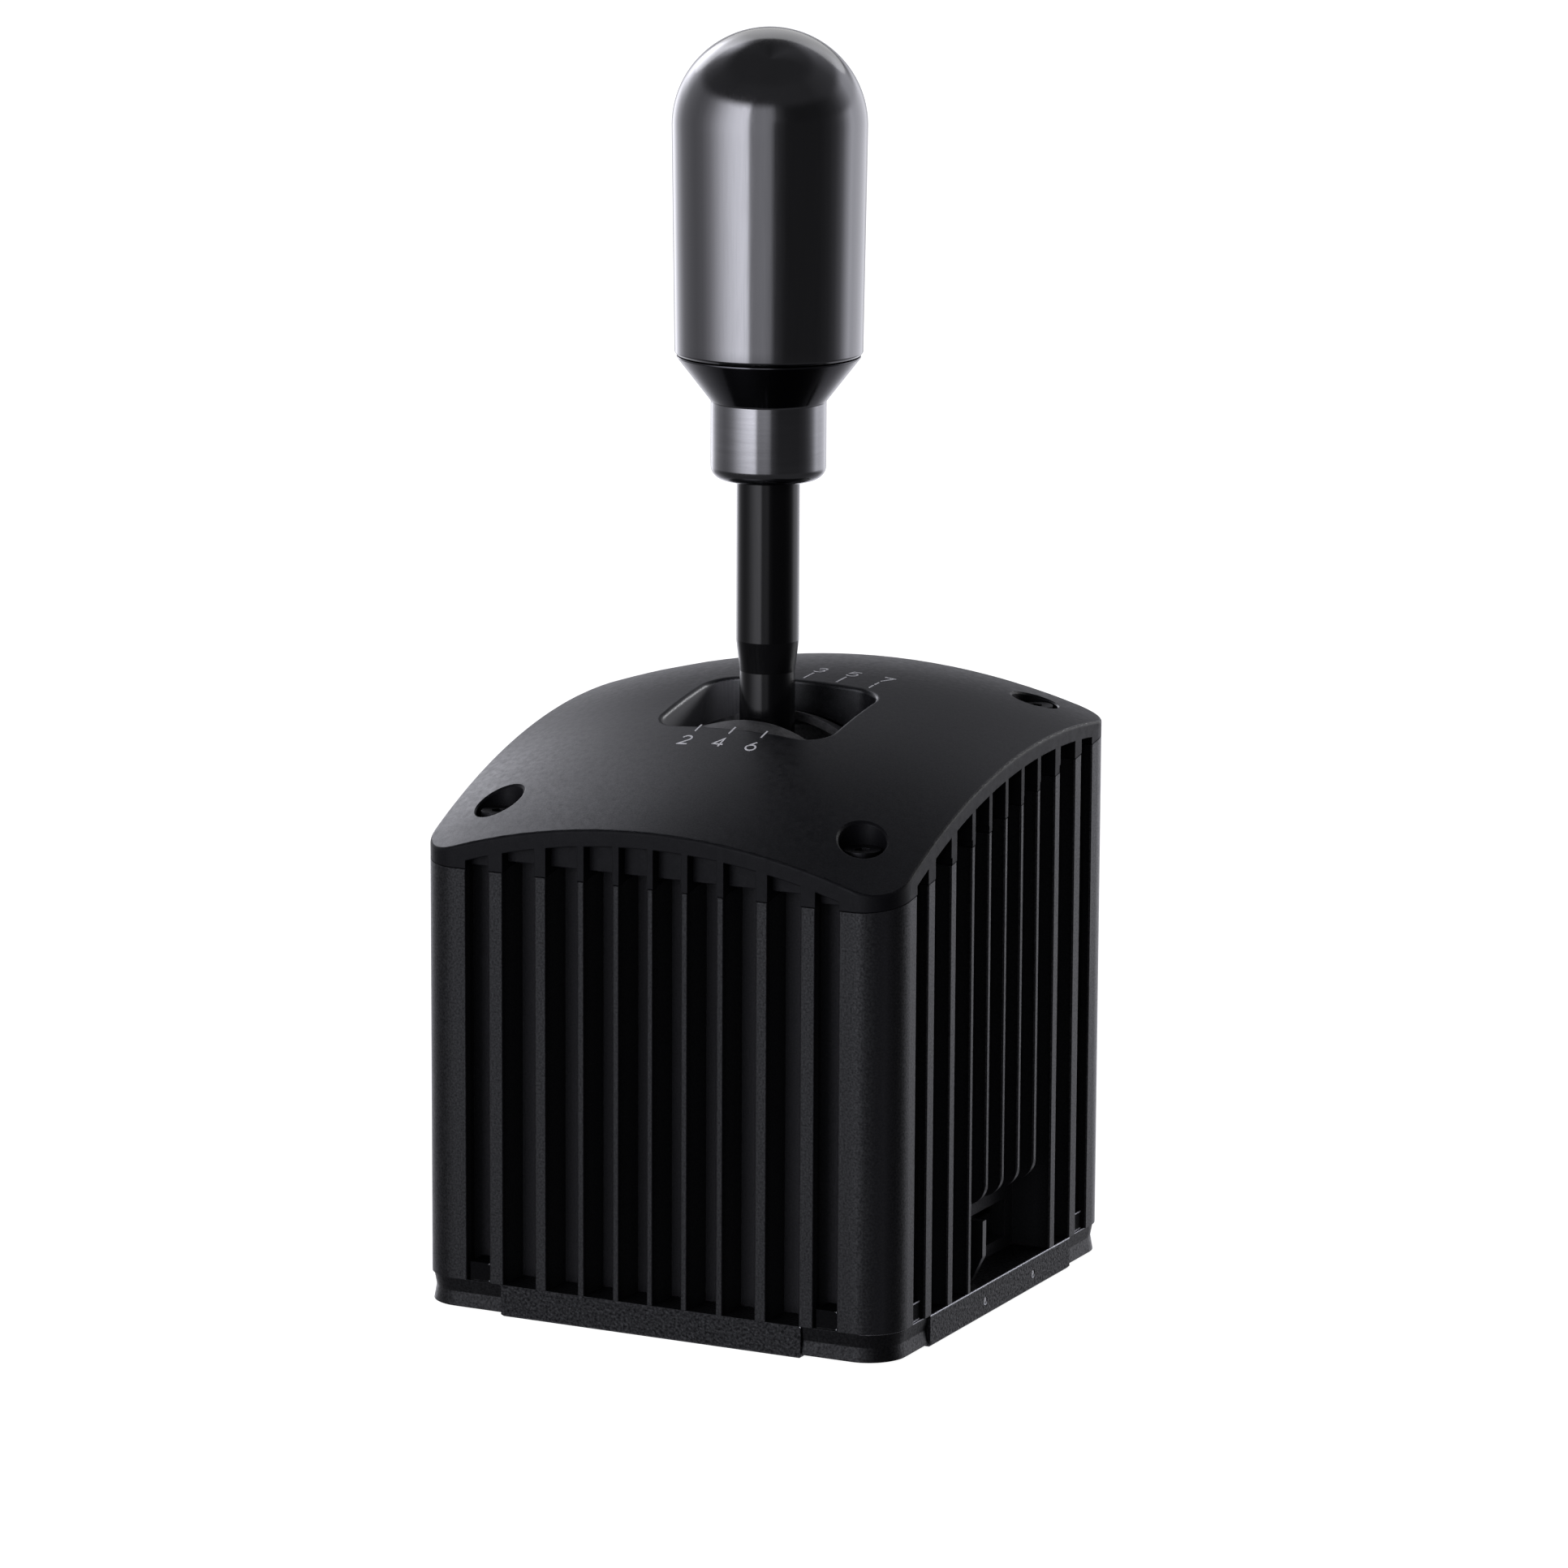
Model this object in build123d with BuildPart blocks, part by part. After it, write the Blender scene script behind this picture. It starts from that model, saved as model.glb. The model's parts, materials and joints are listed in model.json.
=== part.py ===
from build123d import *
from math import atan2, cos, degrees, radians, sin, sqrt, tan
import os

os.makedirs("parts", exist_ok=True)

# Frame: X to the right along the front face, Y to the rear, Z up, origin under the middle of the base
# All sizes in millimetres
side_count = 4
overrun = 1.0
running_gap = 0.05
seat_gap = 0.15

# Widths from the middle outwards: rocker, bearing plates, carriage space, wall and grooves
rocker_window_width = 24.0
rocker_wall = 12.0
plate_gap = 2.5
plate_thickness = 6.0
plate_space = 6.5
wall = 3.0
groove_depth = 8.0

# Heights of the base and of the housing's front, and the slope of the housing's top
base_height = 6.2
front_length = 80.1
top_rise = 18.5
corner_radius = 8.0

# Housing section: grooves between fins, tee slots in the corner columns
corner_block = 19.0
fin_thickness = 1.25
fin_place_shares = (0.144, 0.293, 0.465, 0.656)
fin_width_shares = (1.07, 1.13, 1.9, 2.4)
slot_opening = 4.9
slot_lip = 1.6
slot_width = 8.2
slot_depth = 4.6
fin_round = 0.3

# Windows low on the right side and at the rear, where the fins end above the base
window_height = 15.3
window_round = 4.5

# Screws
screw_core = 1.65
screw_clearance = 2.2
screw_floor = 2.0
screw_length = 10.0
cover_screw_length = 14.0
head_radius = 3.5
head_height = 4.0
head_clearance = 0.4
key_radius = 1.7
key_depth = 2.2
corner_screw_inset = 11.8
channel_inset = 14.5
channel_offset = 9.0
channel_radius = 4.2
small_core = 1.25
small_clearance = 1.6
small_length = 9.0
small_head_radius = 2.75
small_head_height = 3.0
small_key_radius = 1.3
small_key_depth = 1.5

# Top cover: a crowned shell with skirt fins that carry on the housing fins
edge_rise = 10.35
edge_bow = 8.285
edge_band = 2.7
edge_round = 0.7
shell = 3.0
skirt_recess = 2.4
skirt_low_recess = 6.0
skirt_low_height = 1.5
bore_radius = 4.5
bore_seat = 3.2
bore_chamfer = 0.35

# Opening over the lever
opening_width = 36.0
opening_depth = 27.1
opening_shift = 0.5
opening_round = 5.5
opening_edge = 0.8
collar_wall = 1.8
collar_drop = 11.0

# Lever pivots and travels
pivot_y = -1.35
shift_angle = 10.5
select_left = 9.1
select_right = 18.2
press_travel = 4.0

# Dust shield, turned about the shift axis, its crest just under the cover's top
shield_drop = 2.26
shield_radius = 36.8
shield_arch = 26.0
shield_wall = 1.6
shield_margin = 2.4
shield_sweep = 28.0
shield_gap = 0.35
shield_slot_gap = 1.1
shield_slot_space = 2.0
shield_leg_width = 22.0
shield_leg_drop = 5.0
shield_leg_wall = 1.6
shield_screw_place = 8.0
shield_low = 4.0
shield_leg_sweep = 80.0

# Shift rod and knob
rod_radius = 6.0
rod_low_radius = 5.3
rod_thread_radius = 5.0
rod_seat = 4.0
taper_above = 45.0
taper_length = 6.0
neck_above = 82.0
neck_length = 15.0
neck_radius = 11.0
neck_round = 2.6
cone_height = 8.8
knob_height = 62.0
knob_low_radius = 17.9
knob_radius = 18.5
knob_chamfer = 0.8
knob_seam = 0.3
spigot_radius = 9.0
spigot_length = 15.0
insert_radius = 7.0
insert_length = 12.0
press_pin_radius = 1.45
press_pin_rise = 5.0
press_pin_inset = 0.3

# Lever hub with its bushes, its springs and the magnet
hub_width = 14.0
hub_depth = 17.6
hub_gap = 0.2
hub_below = 13.0
hub_above = 9.0
hub_neck_radius = 8.5
hub_neck_end = 4.55
hub_bore_above = 8.0
tail_radius = 4.0
tail_below = 27.0
magnet_radius = 2.5
magnet_height = 3.0
bush_radius = 5.0
bush_flange_radius = 6.6
bush_flange = 1.0
bush_length = 6.8
spring_wire = 0.5
spring_gap = 0.3
press_spring_space = 9.0
press_spring_radius = 4.0
press_spring_turns = 4
centring_spring_radius = 2.6
centring_spring_turns = 5
centring_spring_drop = 22.0

# Rocker, its pins, its bearings and the frame
rocker_end_wall = 5.0
rocker_height = 12.0
pin_radius = 4.0
pin_collar_radius = 5.4
pin_bed = 10.0
pin_reach = 8.0
bearing_radius = 8.0
bearing_width = 5.0
bearing_groove = 0.4
bearing_race = 1.3
plate_width = 40.0
plate_head = 26.0
plate_above = 12.0
plate_lip = 1.5
plate_screw_place = 14.0
bar_width = 5.0
bar_height = 6.0
bar_gap = 2.0

# Shift detent: cam under the rocker, sprung plunger in a block on the base
cam_thickness = 5.0
cam_inset = 7.0
cam_radius = 30.0
cam_top_width = 22.0
cam_half_angle = 24.0
arm_depth = 10.0
arm_length = 23.0
detent_ball = 3.0
detent_bite = 1.2
detent_gap = 0.15
plunger_flange = 4.2
plunger_flange_height = 2.0
plunger_stub_radius = 2.0
plunger_stub_length = 4.0
detent_spring_radius = 3.2
detent_spring_turns = 9
block_width = 12.0
block_depth = 18.0
block_space = 6.8
block_cap = 4.0
adjuster_radius = 4.0
adjuster_height = 5.5
adjuster_key = 2.0
adjuster_key_depth = 3.0

# Mode selector: a tab that slides along Y in the right side's window
tab_thickness = 1.5
tab_height = 12.0
tab_lift = 0.5
tab_depth = 6.4
tab_lean = 2.4
tab_taper = 5.0
tab_inset = 0.4
stem_low = 3.4
stem_height = 5.6
stem_width = 4.0
carriage_width = 5.0
carriage_length = 12.0
carriage_height = 9.0
carriage_inset = 0.8
guide_radius = 1.5
guide_height = 6.4
bracket_thickness = 3.0
bracket_height = 12.0
bracket_space = 1.6
bracket_peg_radius = 1.2
bracket_peg_length = 3.0
strip_thickness = 1.6

# Base, corner caps and mounting holes
cap_width = 18.2
cap_recess = 0.35
cap_lift = 0.7
cap_waist = 0.5
cap_gap = 0.1
base_chamfer = 0.4
tongue_height = 3.6
tongue_depth = 5.0
tongue_gap = 0.3
mark_radius = 0.7
mark_depth = 0.3
mark_height = 3.1
mount_spacing = 50.0
mount_hole_radius = 2.5

# Electronics
board_left = 22.0
board_gap = 3.0
board_width = 34.0
board_thickness = 1.6
board_margin = 3.5
standoff_radius = 2.5
standoff_length = 3.0
sensor_gap = 2.9
chip_size = 4.0
chip_height = 1.5
chip_spacing = 7.0
socket_width = 14.0
socket_height = 12.0
socket_length = 12.0
socket_proud = 1.0
port_width = 10.4
port_height = 7.4
port_depth = 9.0

# Widths and the sloping joint between housing and cover, worked out from the sizes above
rocker_width = rocker_window_width + 2 * rocker_wall
rocker_window_depth = hub_depth + 2 * (bush_flange + hub_gap)
rocker_depth = rocker_window_depth + 2 * rocker_end_wall
plate_inner = rocker_width / 2 + plate_gap
cavity = 2 * (plate_inner + plate_thickness + plate_space)
half = cavity / 2 + wall + groove_depth
side = 2 * half
cavity_neck = side - 2 * corner_block
corner_screw_place = half - corner_screw_inset
channel_row = half - channel_inset
channel_place = cavity_neck / 2 - channel_offset
block_half = half - cap_width
screw_seat = base_height - screw_floor
tilt = degrees(atan2(top_rise, side))
mid_height = base_height + front_length + top_rise / 2
joint_normal = Vector(0, -sin(radians(tilt)), cos(radians(tilt)))
joint_plane = Plane(origin=(0, 0, mid_height), x_dir=(1, 0, 0), z_dir=joint_normal)

# The crown: a sphere that rises by the edge's bow from the corners to the middle of each edge
crown_radius = (half**2 + edge_bow**2) / (2 * edge_bow)
crown_rise = edge_rise * cos(radians(tilt)) + edge_bow
crown_centre = Vector(0, 0, mid_height) + joint_normal * (crown_rise - crown_radius)
stack_height = mid_height + top_rise + crown_rise

# Heights of the lever, from its pivot, which hangs under the crown
crown_over_pivot = crown_centre.Z + sqrt(crown_radius**2 - (pivot_y - crown_centre.Y)**2)
pivot_z = crown_over_pivot - shield_drop - shield_radius
pivot = (0, pivot_y, pivot_z)
shift_axis = Axis(pivot, (1, 0, 0))
rod_bottom = pivot_z + hub_bore_above + press_spring_space
press_pin_height = rod_bottom + press_pin_rise
hub_neck_top = press_pin_height + press_pin_radius + hub_neck_end
taper_low = pivot_z + taper_above
taper_high = taper_low + taper_length
neck_bottom = pivot_z + neck_above
neck_top = neck_bottom + neck_length
seam_height = neck_top + cone_height
knob_top = seam_height + knob_height
shield_slot_left = shield_radius * sin(radians(select_left)) + rod_low_radius + shield_slot_space
shield_slot_right = shield_radius * sin(radians(select_right)) + rod_low_radius + shield_slot_space
shield_slot_width = 2 * (rod_low_radius + shield_slot_gap)
shield_left = shield_slot_left + shield_margin
shield_right = shield_slot_right + shield_margin

# Places of the detent, the crossbars and the sensor board
cam_place = rocker_width / 2 - cam_inset
block_height = pivot_z - cam_radius - block_space - base_height
bar_place = (block_depth + bar_width) / 2 + bar_gap
board_right = cam_place - block_width / 2 - board_gap
board_low = pivot_z - tail_below - magnet_height - sensor_gap - chip_height - board_thickness
bar_top = board_low - standoff_length

# Fins as centre and half width, from the middle of a side outwards
fins = [(0, fin_thickness / 2)]
for place_share, width_share in zip(fin_place_shares, fin_width_shares):
    fins.append((place_share * half, width_share * fin_thickness / 2))

# Grooves as centre and width, on both halves of a side
grooves = []
for (inner, inner_half), (outer, outer_half) in zip(fins, fins[1:]):
    low_edge = inner + inner_half
    high_edge = outer - outer_half
    middle = (low_edge + high_edge) / 2
    grooves += [(middle, high_edge - low_edge), (-middle, high_edge - low_edge)]
slot_place = fins[-1][0] + fins[-1][1] + slot_opening / 2


def joint_height(y):
    """Height of the joint between housing and cover at a depth"""
    return mid_height + y * tan(radians(tilt))


def corners(x_place, y_place):
    """The four places at one distance from each middle plane"""
    return [(x, y) for x in (-x_place, x_place) for y in (-y_place, y_place)]


def socket_screw(radius, length, cap_radius, cap_height, hex_radius, hex_depth):
    """A socket head screw, shank down, with its head's seat at the origin"""
    with BuildPart() as screw:
        Cylinder(cap_radius, cap_height, align=(Align.CENTER, Align.CENTER, Align.MIN))
        Cylinder(radius, length, align=(Align.CENTER, Align.CENTER, Align.MAX))
        with BuildSketch(Plane.XY.offset(cap_height)):
            RegularPolygon(hex_radius, side_count + 2)
        extrude(amount=-hex_depth, mode=Mode.SUBTRACT)
    return screw.part


def large_screw(length):
    """The screw that holds the cover, the base and the caps"""
    return socket_screw(screw_core, length, head_radius, head_height, key_radius, key_depth)


def small_screw(length):
    """The screw that holds the frame, the board and the shield"""
    return socket_screw(
        small_core, length, small_head_radius, small_head_height, small_key_radius, small_key_depth)


def spring(radius, length, turns):
    """A wound spring along Z with its low end at the origin"""
    with BuildPart() as coil:
        with BuildLine():
            Helix(pitch=(length - 2 * spring_wire) / turns, height=length - 2 * spring_wire, radius=radius,
                  center=(0, 0, spring_wire))
        with BuildSketch(Plane.XZ):
            with Locations((radius, spring_wire)):
                Circle(spring_wire)
        sweep(is_frenet=True)
    return coil.part


def fin_window(plane, length):
    """The space below a row of shortened fins, whose ends sweep back into the grooves"""
    floor = half - groove_depth
    top = base_height + window_height
    with BuildPart() as window:
        with BuildSketch(plane):
            with BuildLine():
                Polyline((floor, base_height - overrun), (half + overrun, base_height - overrun),
                         (half + overrun, top + window_round), (half, top + window_round))
                RadiusArc((half, top + window_round), (half - window_round, top), window_round)
                Polyline((half - window_round, top), (floor, top), (floor, base_height - overrun))
            make_face()
        extrude(amount=length)
    return window.part


# Housing: one length of finned section, cut off aslant at the top
right_low = -(fins[2][0] - fins[2][1])
right_high = fins[3][0] - fins[3][1]
right_window = fin_window(
    Plane(origin=(0, right_high, 0), x_dir=(1, 0, 0), z_dir=(0, -1, 0)), right_high - right_low)
rear_window = fin_window(
    Plane(origin=(right_low, 0, 0), x_dir=(0, 1, 0), z_dir=(1, 0, 0)), -2 * right_low)
selector_rest = -fins[1][0]
selector_travel = fins[2][0] - selector_rest

with BuildPart() as housing_whole:
    with BuildSketch(Plane.XY.offset(base_height)) as housing_section:
        RectangleRounded(side, side, corner_radius)
        Rectangle(cavity, cavity_neck, mode=Mode.SUBTRACT)
        Rectangle(cavity_neck, cavity, mode=Mode.SUBTRACT)
        with Locations(*corners(channel_place, channel_row)):
            Circle(channel_radius)
            Circle(screw_core, mode=Mode.SUBTRACT)
        with Locations(*corners(corner_screw_place, corner_screw_place)):
            Circle(screw_core, mode=Mode.SUBTRACT)
        with PolarLocations(half, side_count):
            for place, width in grooves:
                with Locations((-groove_depth / 2, place)):
                    Rectangle(groove_depth, width, mode=Mode.SUBTRACT)
            with Locations((-slot_lip / 2, -slot_place), (-slot_lip / 2, slot_place)):
                Rectangle(slot_lip, slot_opening, mode=Mode.SUBTRACT)
            slot_middle = slot_lip + slot_depth / 2
            with Locations((-slot_middle, -slot_place), (-slot_middle, slot_place)):
                Rectangle(slot_depth, slot_width, mode=Mode.SUBTRACT)
        fin_limit = half - corner_radius - fin_round
        fillet([corner for corner in housing_section.vertices()
                if max(abs(corner.X), abs(corner.Y)) > half - fin_round
                and min(abs(corner.X), abs(corner.Y)) < fin_limit], fin_round)
    extrude(amount=stack_height)
    split(bisect_by=joint_plane, keep=Keep.BOTTOM)
    add(right_window, mode=Mode.SUBTRACT)
    add(rear_window, mode=Mode.SUBTRACT)
    # Slot in the right wall for the selector's stem
    with Locations((cavity / 2 + wall / 2, selector_rest + selector_travel / 2,
                    base_height + stem_low + stem_height / 2)):
        Box(wall + 2 * overrun, selector_travel + 2 * stem_width, stem_height + 2 * overrun,
            mode=Mode.SUBTRACT)
    # Hole in the rear wall for the data socket
    with Locations((0, cavity / 2 + wall / 2, base_height + socket_height / 2)):
        Box(socket_width + 2 * seat_gap, wall + 2 * overrun, socket_height + 2 * seat_gap,
            mode=Mode.SUBTRACT)

# The housing's four finned walls and four corner columns, cut where they meet inside
neck = cavity_neck / 2
spans = {-1: (-half - overrun, -neck), 0: (-neck, neck), 1: (neck, half + overrun)}
housing_names = {(0, -1): "wall_front", (0, 1): "wall_rear", (-1, 0): "wall_left", (1, 0): "wall_right",
                 (-1, -1): "column_front_left", (1, -1): "column_front_right",
                 (-1, 1): "column_rear_left", (1, 1): "column_rear_right"}
for (span_x, span_y), piece_name in housing_names.items():
    x_low, x_high = spans[span_x]
    y_low, y_high = spans[span_y]
    with BuildPart() as housing_piece:
        add(housing_whole.part)
        with Locations(((x_low + x_high) / 2, (y_low + y_high) / 2, base_height)):
            Box(x_high - x_low, y_high - y_low, 2 * stack_height, mode=Mode.INTERSECT)
    housing_piece.part.label = piece_name
    export_step(housing_piece.part, "parts/" + piece_name + ".step")

# Dust shield: an arched band turned about the shift axis, with a cross slot for the rod
arch_centre = shield_radius - shield_arch


def arch_height(radius, x):
    """Height over the pivot of a point on an arc of the arch"""
    return arch_centre + sqrt(radius**2 - x**2)


def turned_plane(angle):
    """The upright plane through the shift axis, turned about that axis towards the front"""
    lean = radians(angle)
    return Plane(origin=pivot, x_dir=(1, 0, 0), z_dir=(0, -cos(lean), -sin(lean)))


def arch_solid(radius, margin, sweep_angle):
    """The whole space under the arch, turned both ways about the shift axis"""
    left = shield_left + margin
    right = shield_right + margin
    with BuildPart() as turned:
        with BuildSketch(turned_plane(-sweep_angle)):
            with BuildLine():
                start = (-left, arch_height(radius, left))
                finish = (right, arch_height(radius, right))
                ThreePointArc(start, (0, arch_centre + radius), finish)
                Polyline(finish, (right, shield_low), (-left, shield_low), start)
            make_face()
        revolve(axis=shift_axis, revolution_arc=2 * sweep_angle)
    return turned.part


leg_place = (rocker_depth + shield_leg_wall) / 2
leg_trim = arch_solid(shield_arch, 0, shield_leg_sweep)
shield_space = arch_solid(shield_arch + shield_gap, shield_gap, 2 * shield_sweep)
with BuildPart() as dust_shield:
    for leg_side in (-1, 1):
        with Locations((0, pivot_y + leg_side * leg_place, pivot_z)):
            Box(shield_leg_width, shield_leg_wall, 2 * shield_radius)
    add(leg_trim, mode=Mode.INTERSECT)
    for leg_side in (-1, 1):
        with Locations((0, pivot_y + leg_side * leg_place, pivot_z)):
            Box(shield_leg_width, shield_leg_wall, 2 * shield_leg_drop)
    with BuildSketch(turned_plane(-shield_sweep)):
        with BuildLine():
            start = (-shield_left, arch_height(shield_arch, shield_left))
            finish = (shield_right, arch_height(shield_arch, shield_right))
            ThreePointArc(start, (0, shield_radius), finish)
            back = (shield_right, arch_height(shield_arch - shield_wall, shield_right))
            front = (-shield_left, arch_height(shield_arch - shield_wall, shield_left))
            Line(finish, back)
            ThreePointArc(back, (0, shield_radius - shield_wall), front)
            Line(front, start)
        make_face()
    revolve(axis=shift_axis, revolution_arc=2 * shield_sweep)
    with BuildSketch(Plane.XY.offset(pivot_z)):
        with Locations(((shield_slot_right - shield_slot_left) / 2, pivot_y)):
            SlotOverall(shield_slot_left + shield_slot_right, shield_slot_width)
    extrude(amount=shield_radius + overrun, mode=Mode.SUBTRACT)
    for x in (-shield_screw_place, shield_screw_place):
        with Locations(Plane(origin=(x, pivot_y, pivot_z), z_dir=(0, 1, 0))):
            Cylinder(small_clearance, rocker_depth + 2 * shield_leg_wall + overrun, mode=Mode.SUBTRACT)
dust_shield.part.label = "dust_shield"
export_step(dust_shield.part, "parts/dust_shield.step")

# Top cover
with BuildPart() as skirt_gaps:
    with BuildSketch(Plane.XY.offset(base_height)):
        with PolarLocations(half, side_count):
            for place, width in grooves + [(-slot_place, slot_opening), (slot_place, slot_opening)]:
                with Locations((-skirt_recess / 2 + overrun / 2, place)):
                    Rectangle(skirt_recess + overrun, width)
    extrude(amount=stack_height)
    with Locations(crown_centre):
        Sphere(crown_radius - edge_band, rotation=(90, 0, 0), mode=Mode.INTERSECT)

with BuildPart() as skirt_feet:
    with BuildSketch(joint_plane):
        with PolarLocations(half, side_count):
            for place, width in grooves:
                with Locations((-skirt_low_recess / 2 + overrun / 2, place)):
                    Rectangle(skirt_low_recess + overrun, width)
    extrude(amount=skirt_low_height, dir=(0, 0, 1))

inner_span = side - 2 * groove_depth
opening_middle = (opening_shift, pivot_y)
collar_low = mid_height + crown_rise - collar_drop
with BuildPart() as cover_hollow:
    with BuildSketch(Plane.XY.offset(base_height)):
        Rectangle(inner_span, cavity_neck)
        Rectangle(cavity_neck, inner_span)
    extrude(amount=stack_height)
    with Locations(crown_centre):
        Sphere(crown_radius - shell, rotation=(90, 0, 0), mode=Mode.INTERSECT)
    with BuildSketch(Plane.XY.offset(collar_low)):
        with Locations(opening_middle):
            RectangleRounded(opening_width + 2 * collar_wall, opening_depth + 2 * collar_wall,
                             opening_round + collar_wall)
    extrude(amount=stack_height, mode=Mode.SUBTRACT)

with BuildPart() as top_cover:
    with BuildSketch(Plane.XY.offset(base_height)):
        RectangleRounded(side, side, corner_radius)
    extrude(amount=stack_height)
    with Locations(crown_centre):
        Sphere(crown_radius, rotation=(90, 0, 0), mode=Mode.INTERSECT)
    split(bisect_by=joint_plane.offset(seat_gap), keep=Keep.TOP)
    fillet(top_cover.faces().filter_by(GeomType.SPHERE).edges(), edge_round)
    # Opening over the lever, with a rounded rim
    with BuildSketch(Plane.XY.offset(mid_height)):
        with Locations(opening_middle):
            RectangleRounded(opening_width, opening_depth, opening_round)
    extrude(amount=stack_height, both=True, mode=Mode.SUBTRACT)
    crown = top_cover.faces().filter_by(GeomType.SPHERE).sort_by(SortBy.AREA)[-1]
    fillet(crown.inner_wires()[0].edges(), opening_edge)
    # Counterbores with broken edges
    for x, y in corners(corner_screw_place, corner_screw_place):
        with Locations((x, y, joint_height(y) + bore_seat)):
            Cylinder(bore_radius, stack_height,
                     align=(Align.CENTER, Align.CENTER, Align.MIN), mode=Mode.SUBTRACT)
    crown = top_cover.faces().filter_by(GeomType.SPHERE).sort_by(SortBy.AREA)[-1]
    bore_rims = crown.inner_wires().sort_by(SortBy.LENGTH)[:side_count]
    chamfer([rim.edges()[0] for rim in bore_rims], bore_chamfer)
    for x, y in corners(corner_screw_place, corner_screw_place):
        with Locations((x, y, joint_height(y) + bore_seat)):
            Cylinder(screw_clearance, stack_height, mode=Mode.SUBTRACT)
    add(cover_hollow.part, mode=Mode.SUBTRACT)
    add(skirt_gaps.part, mode=Mode.SUBTRACT)
    add(skirt_feet.part, mode=Mode.SUBTRACT)
    add(shield_space, mode=Mode.SUBTRACT)
top_cover.part.label = "top_cover"
export_step(top_cover.part, "parts/top_cover.step")

# Cover screws run down into the corner columns
cover_screw = large_screw(cover_screw_length)
base_screw = large_screw(screw_length)
frame_screw = small_screw(small_length)
shield_screw = small_screw((rocker_depth - rocker_window_depth) / 2 + shield_leg_wall)
with BuildPart() as cover_screws:
    for x, y in corners(corner_screw_place, corner_screw_place):
        with Locations((x, y, joint_height(y) + bore_seat)):
            add(cover_screw)
cover_screws.part.label = "cover_screws"
export_step(cover_screws.part, "parts/cover_screws.step")

# Base plate: a cross whose four arms show between the corner caps
with BuildPart() as base_plate:
    with BuildSketch():
        Rectangle(side, 2 * block_half)
        Rectangle(2 * block_half, side)
    extrude(amount=base_height)
    chamfer(base_plate.edges().group_by(Axis.Z)[0], base_chamfer)
    for x, y in corners(channel_place, channel_row):
        with Locations((x, y, screw_seat)):
            Cylinder(head_radius + head_clearance, base_height,
                     align=(Align.CENTER, Align.CENTER, Align.MAX), mode=Mode.SUBTRACT)
            Cylinder(screw_clearance, base_height, mode=Mode.SUBTRACT)
    for x, y in corners(plate_inner + plate_thickness / 2, plate_screw_place):
        with Locations((x, pivot_y + y, screw_seat)):
            Cylinder(small_head_radius + head_clearance, base_height,
                     align=(Align.CENTER, Align.CENTER, Align.MAX), mode=Mode.SUBTRACT)
            Cylinder(small_clearance, base_height, mode=Mode.SUBTRACT)
    with Locations(*corners(mount_spacing / 2, mount_spacing / 2)):
        Cylinder(mount_hole_radius, 2 * base_height + overrun, mode=Mode.SUBTRACT)
    with Locations((cam_place, pivot_y)):
        Cylinder(adjuster_radius, 2 * base_height + overrun, mode=Mode.SUBTRACT)
    # Two dimples on the right face mark the ends of the selector's travel
    for y in (selector_rest, selector_rest + selector_travel):
        with Locations(Plane(origin=(half, y, mark_height), z_dir=(1, 0, 0))):
            Cylinder(mark_radius, 2 * mark_depth, mode=Mode.SUBTRACT)
    # Holes for the pegs of the selector's brackets
    carriage_place = cavity / 2 - carriage_inset - carriage_width / 2
    bracket_reach = carriage_length / 2 + bracket_space + bracket_thickness / 2
    bracket_front = selector_rest - bracket_reach
    bracket_rear = selector_rest + selector_travel + bracket_reach
    for y in (bracket_front, bracket_rear):
        with Locations((carriage_place, y, base_height)):
            Cylinder(bracket_peg_radius, bracket_peg_length,
                     align=(Align.CENTER, Align.CENTER, Align.MAX), mode=Mode.SUBTRACT)
base_plate.part.label = "base_plate"
export_step(base_plate.part, "parts/base_plate.step")

with BuildPart() as base_screws:
    for x, y in corners(channel_place, channel_row):
        with Locations(Plane(origin=(x, y, screw_seat), z_dir=(0, 0, -1))):
            add(base_screw)
base_screws.part.label = "base_screws"
export_step(base_screws.part, "parts/base_screws.step")

# Corner caps: waisted blocks with two tongues that stand in the tee slots
cap_side = side - 2 * cap_recess
cap_height = base_height - cap_lift
waist_angle = degrees(atan2(2 * cap_waist, cap_height))
cap_names = {(-1, -1): "front_left", (1, -1): "front_right", (-1, 1): "rear_left", (1, 1): "rear_right"}


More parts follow.
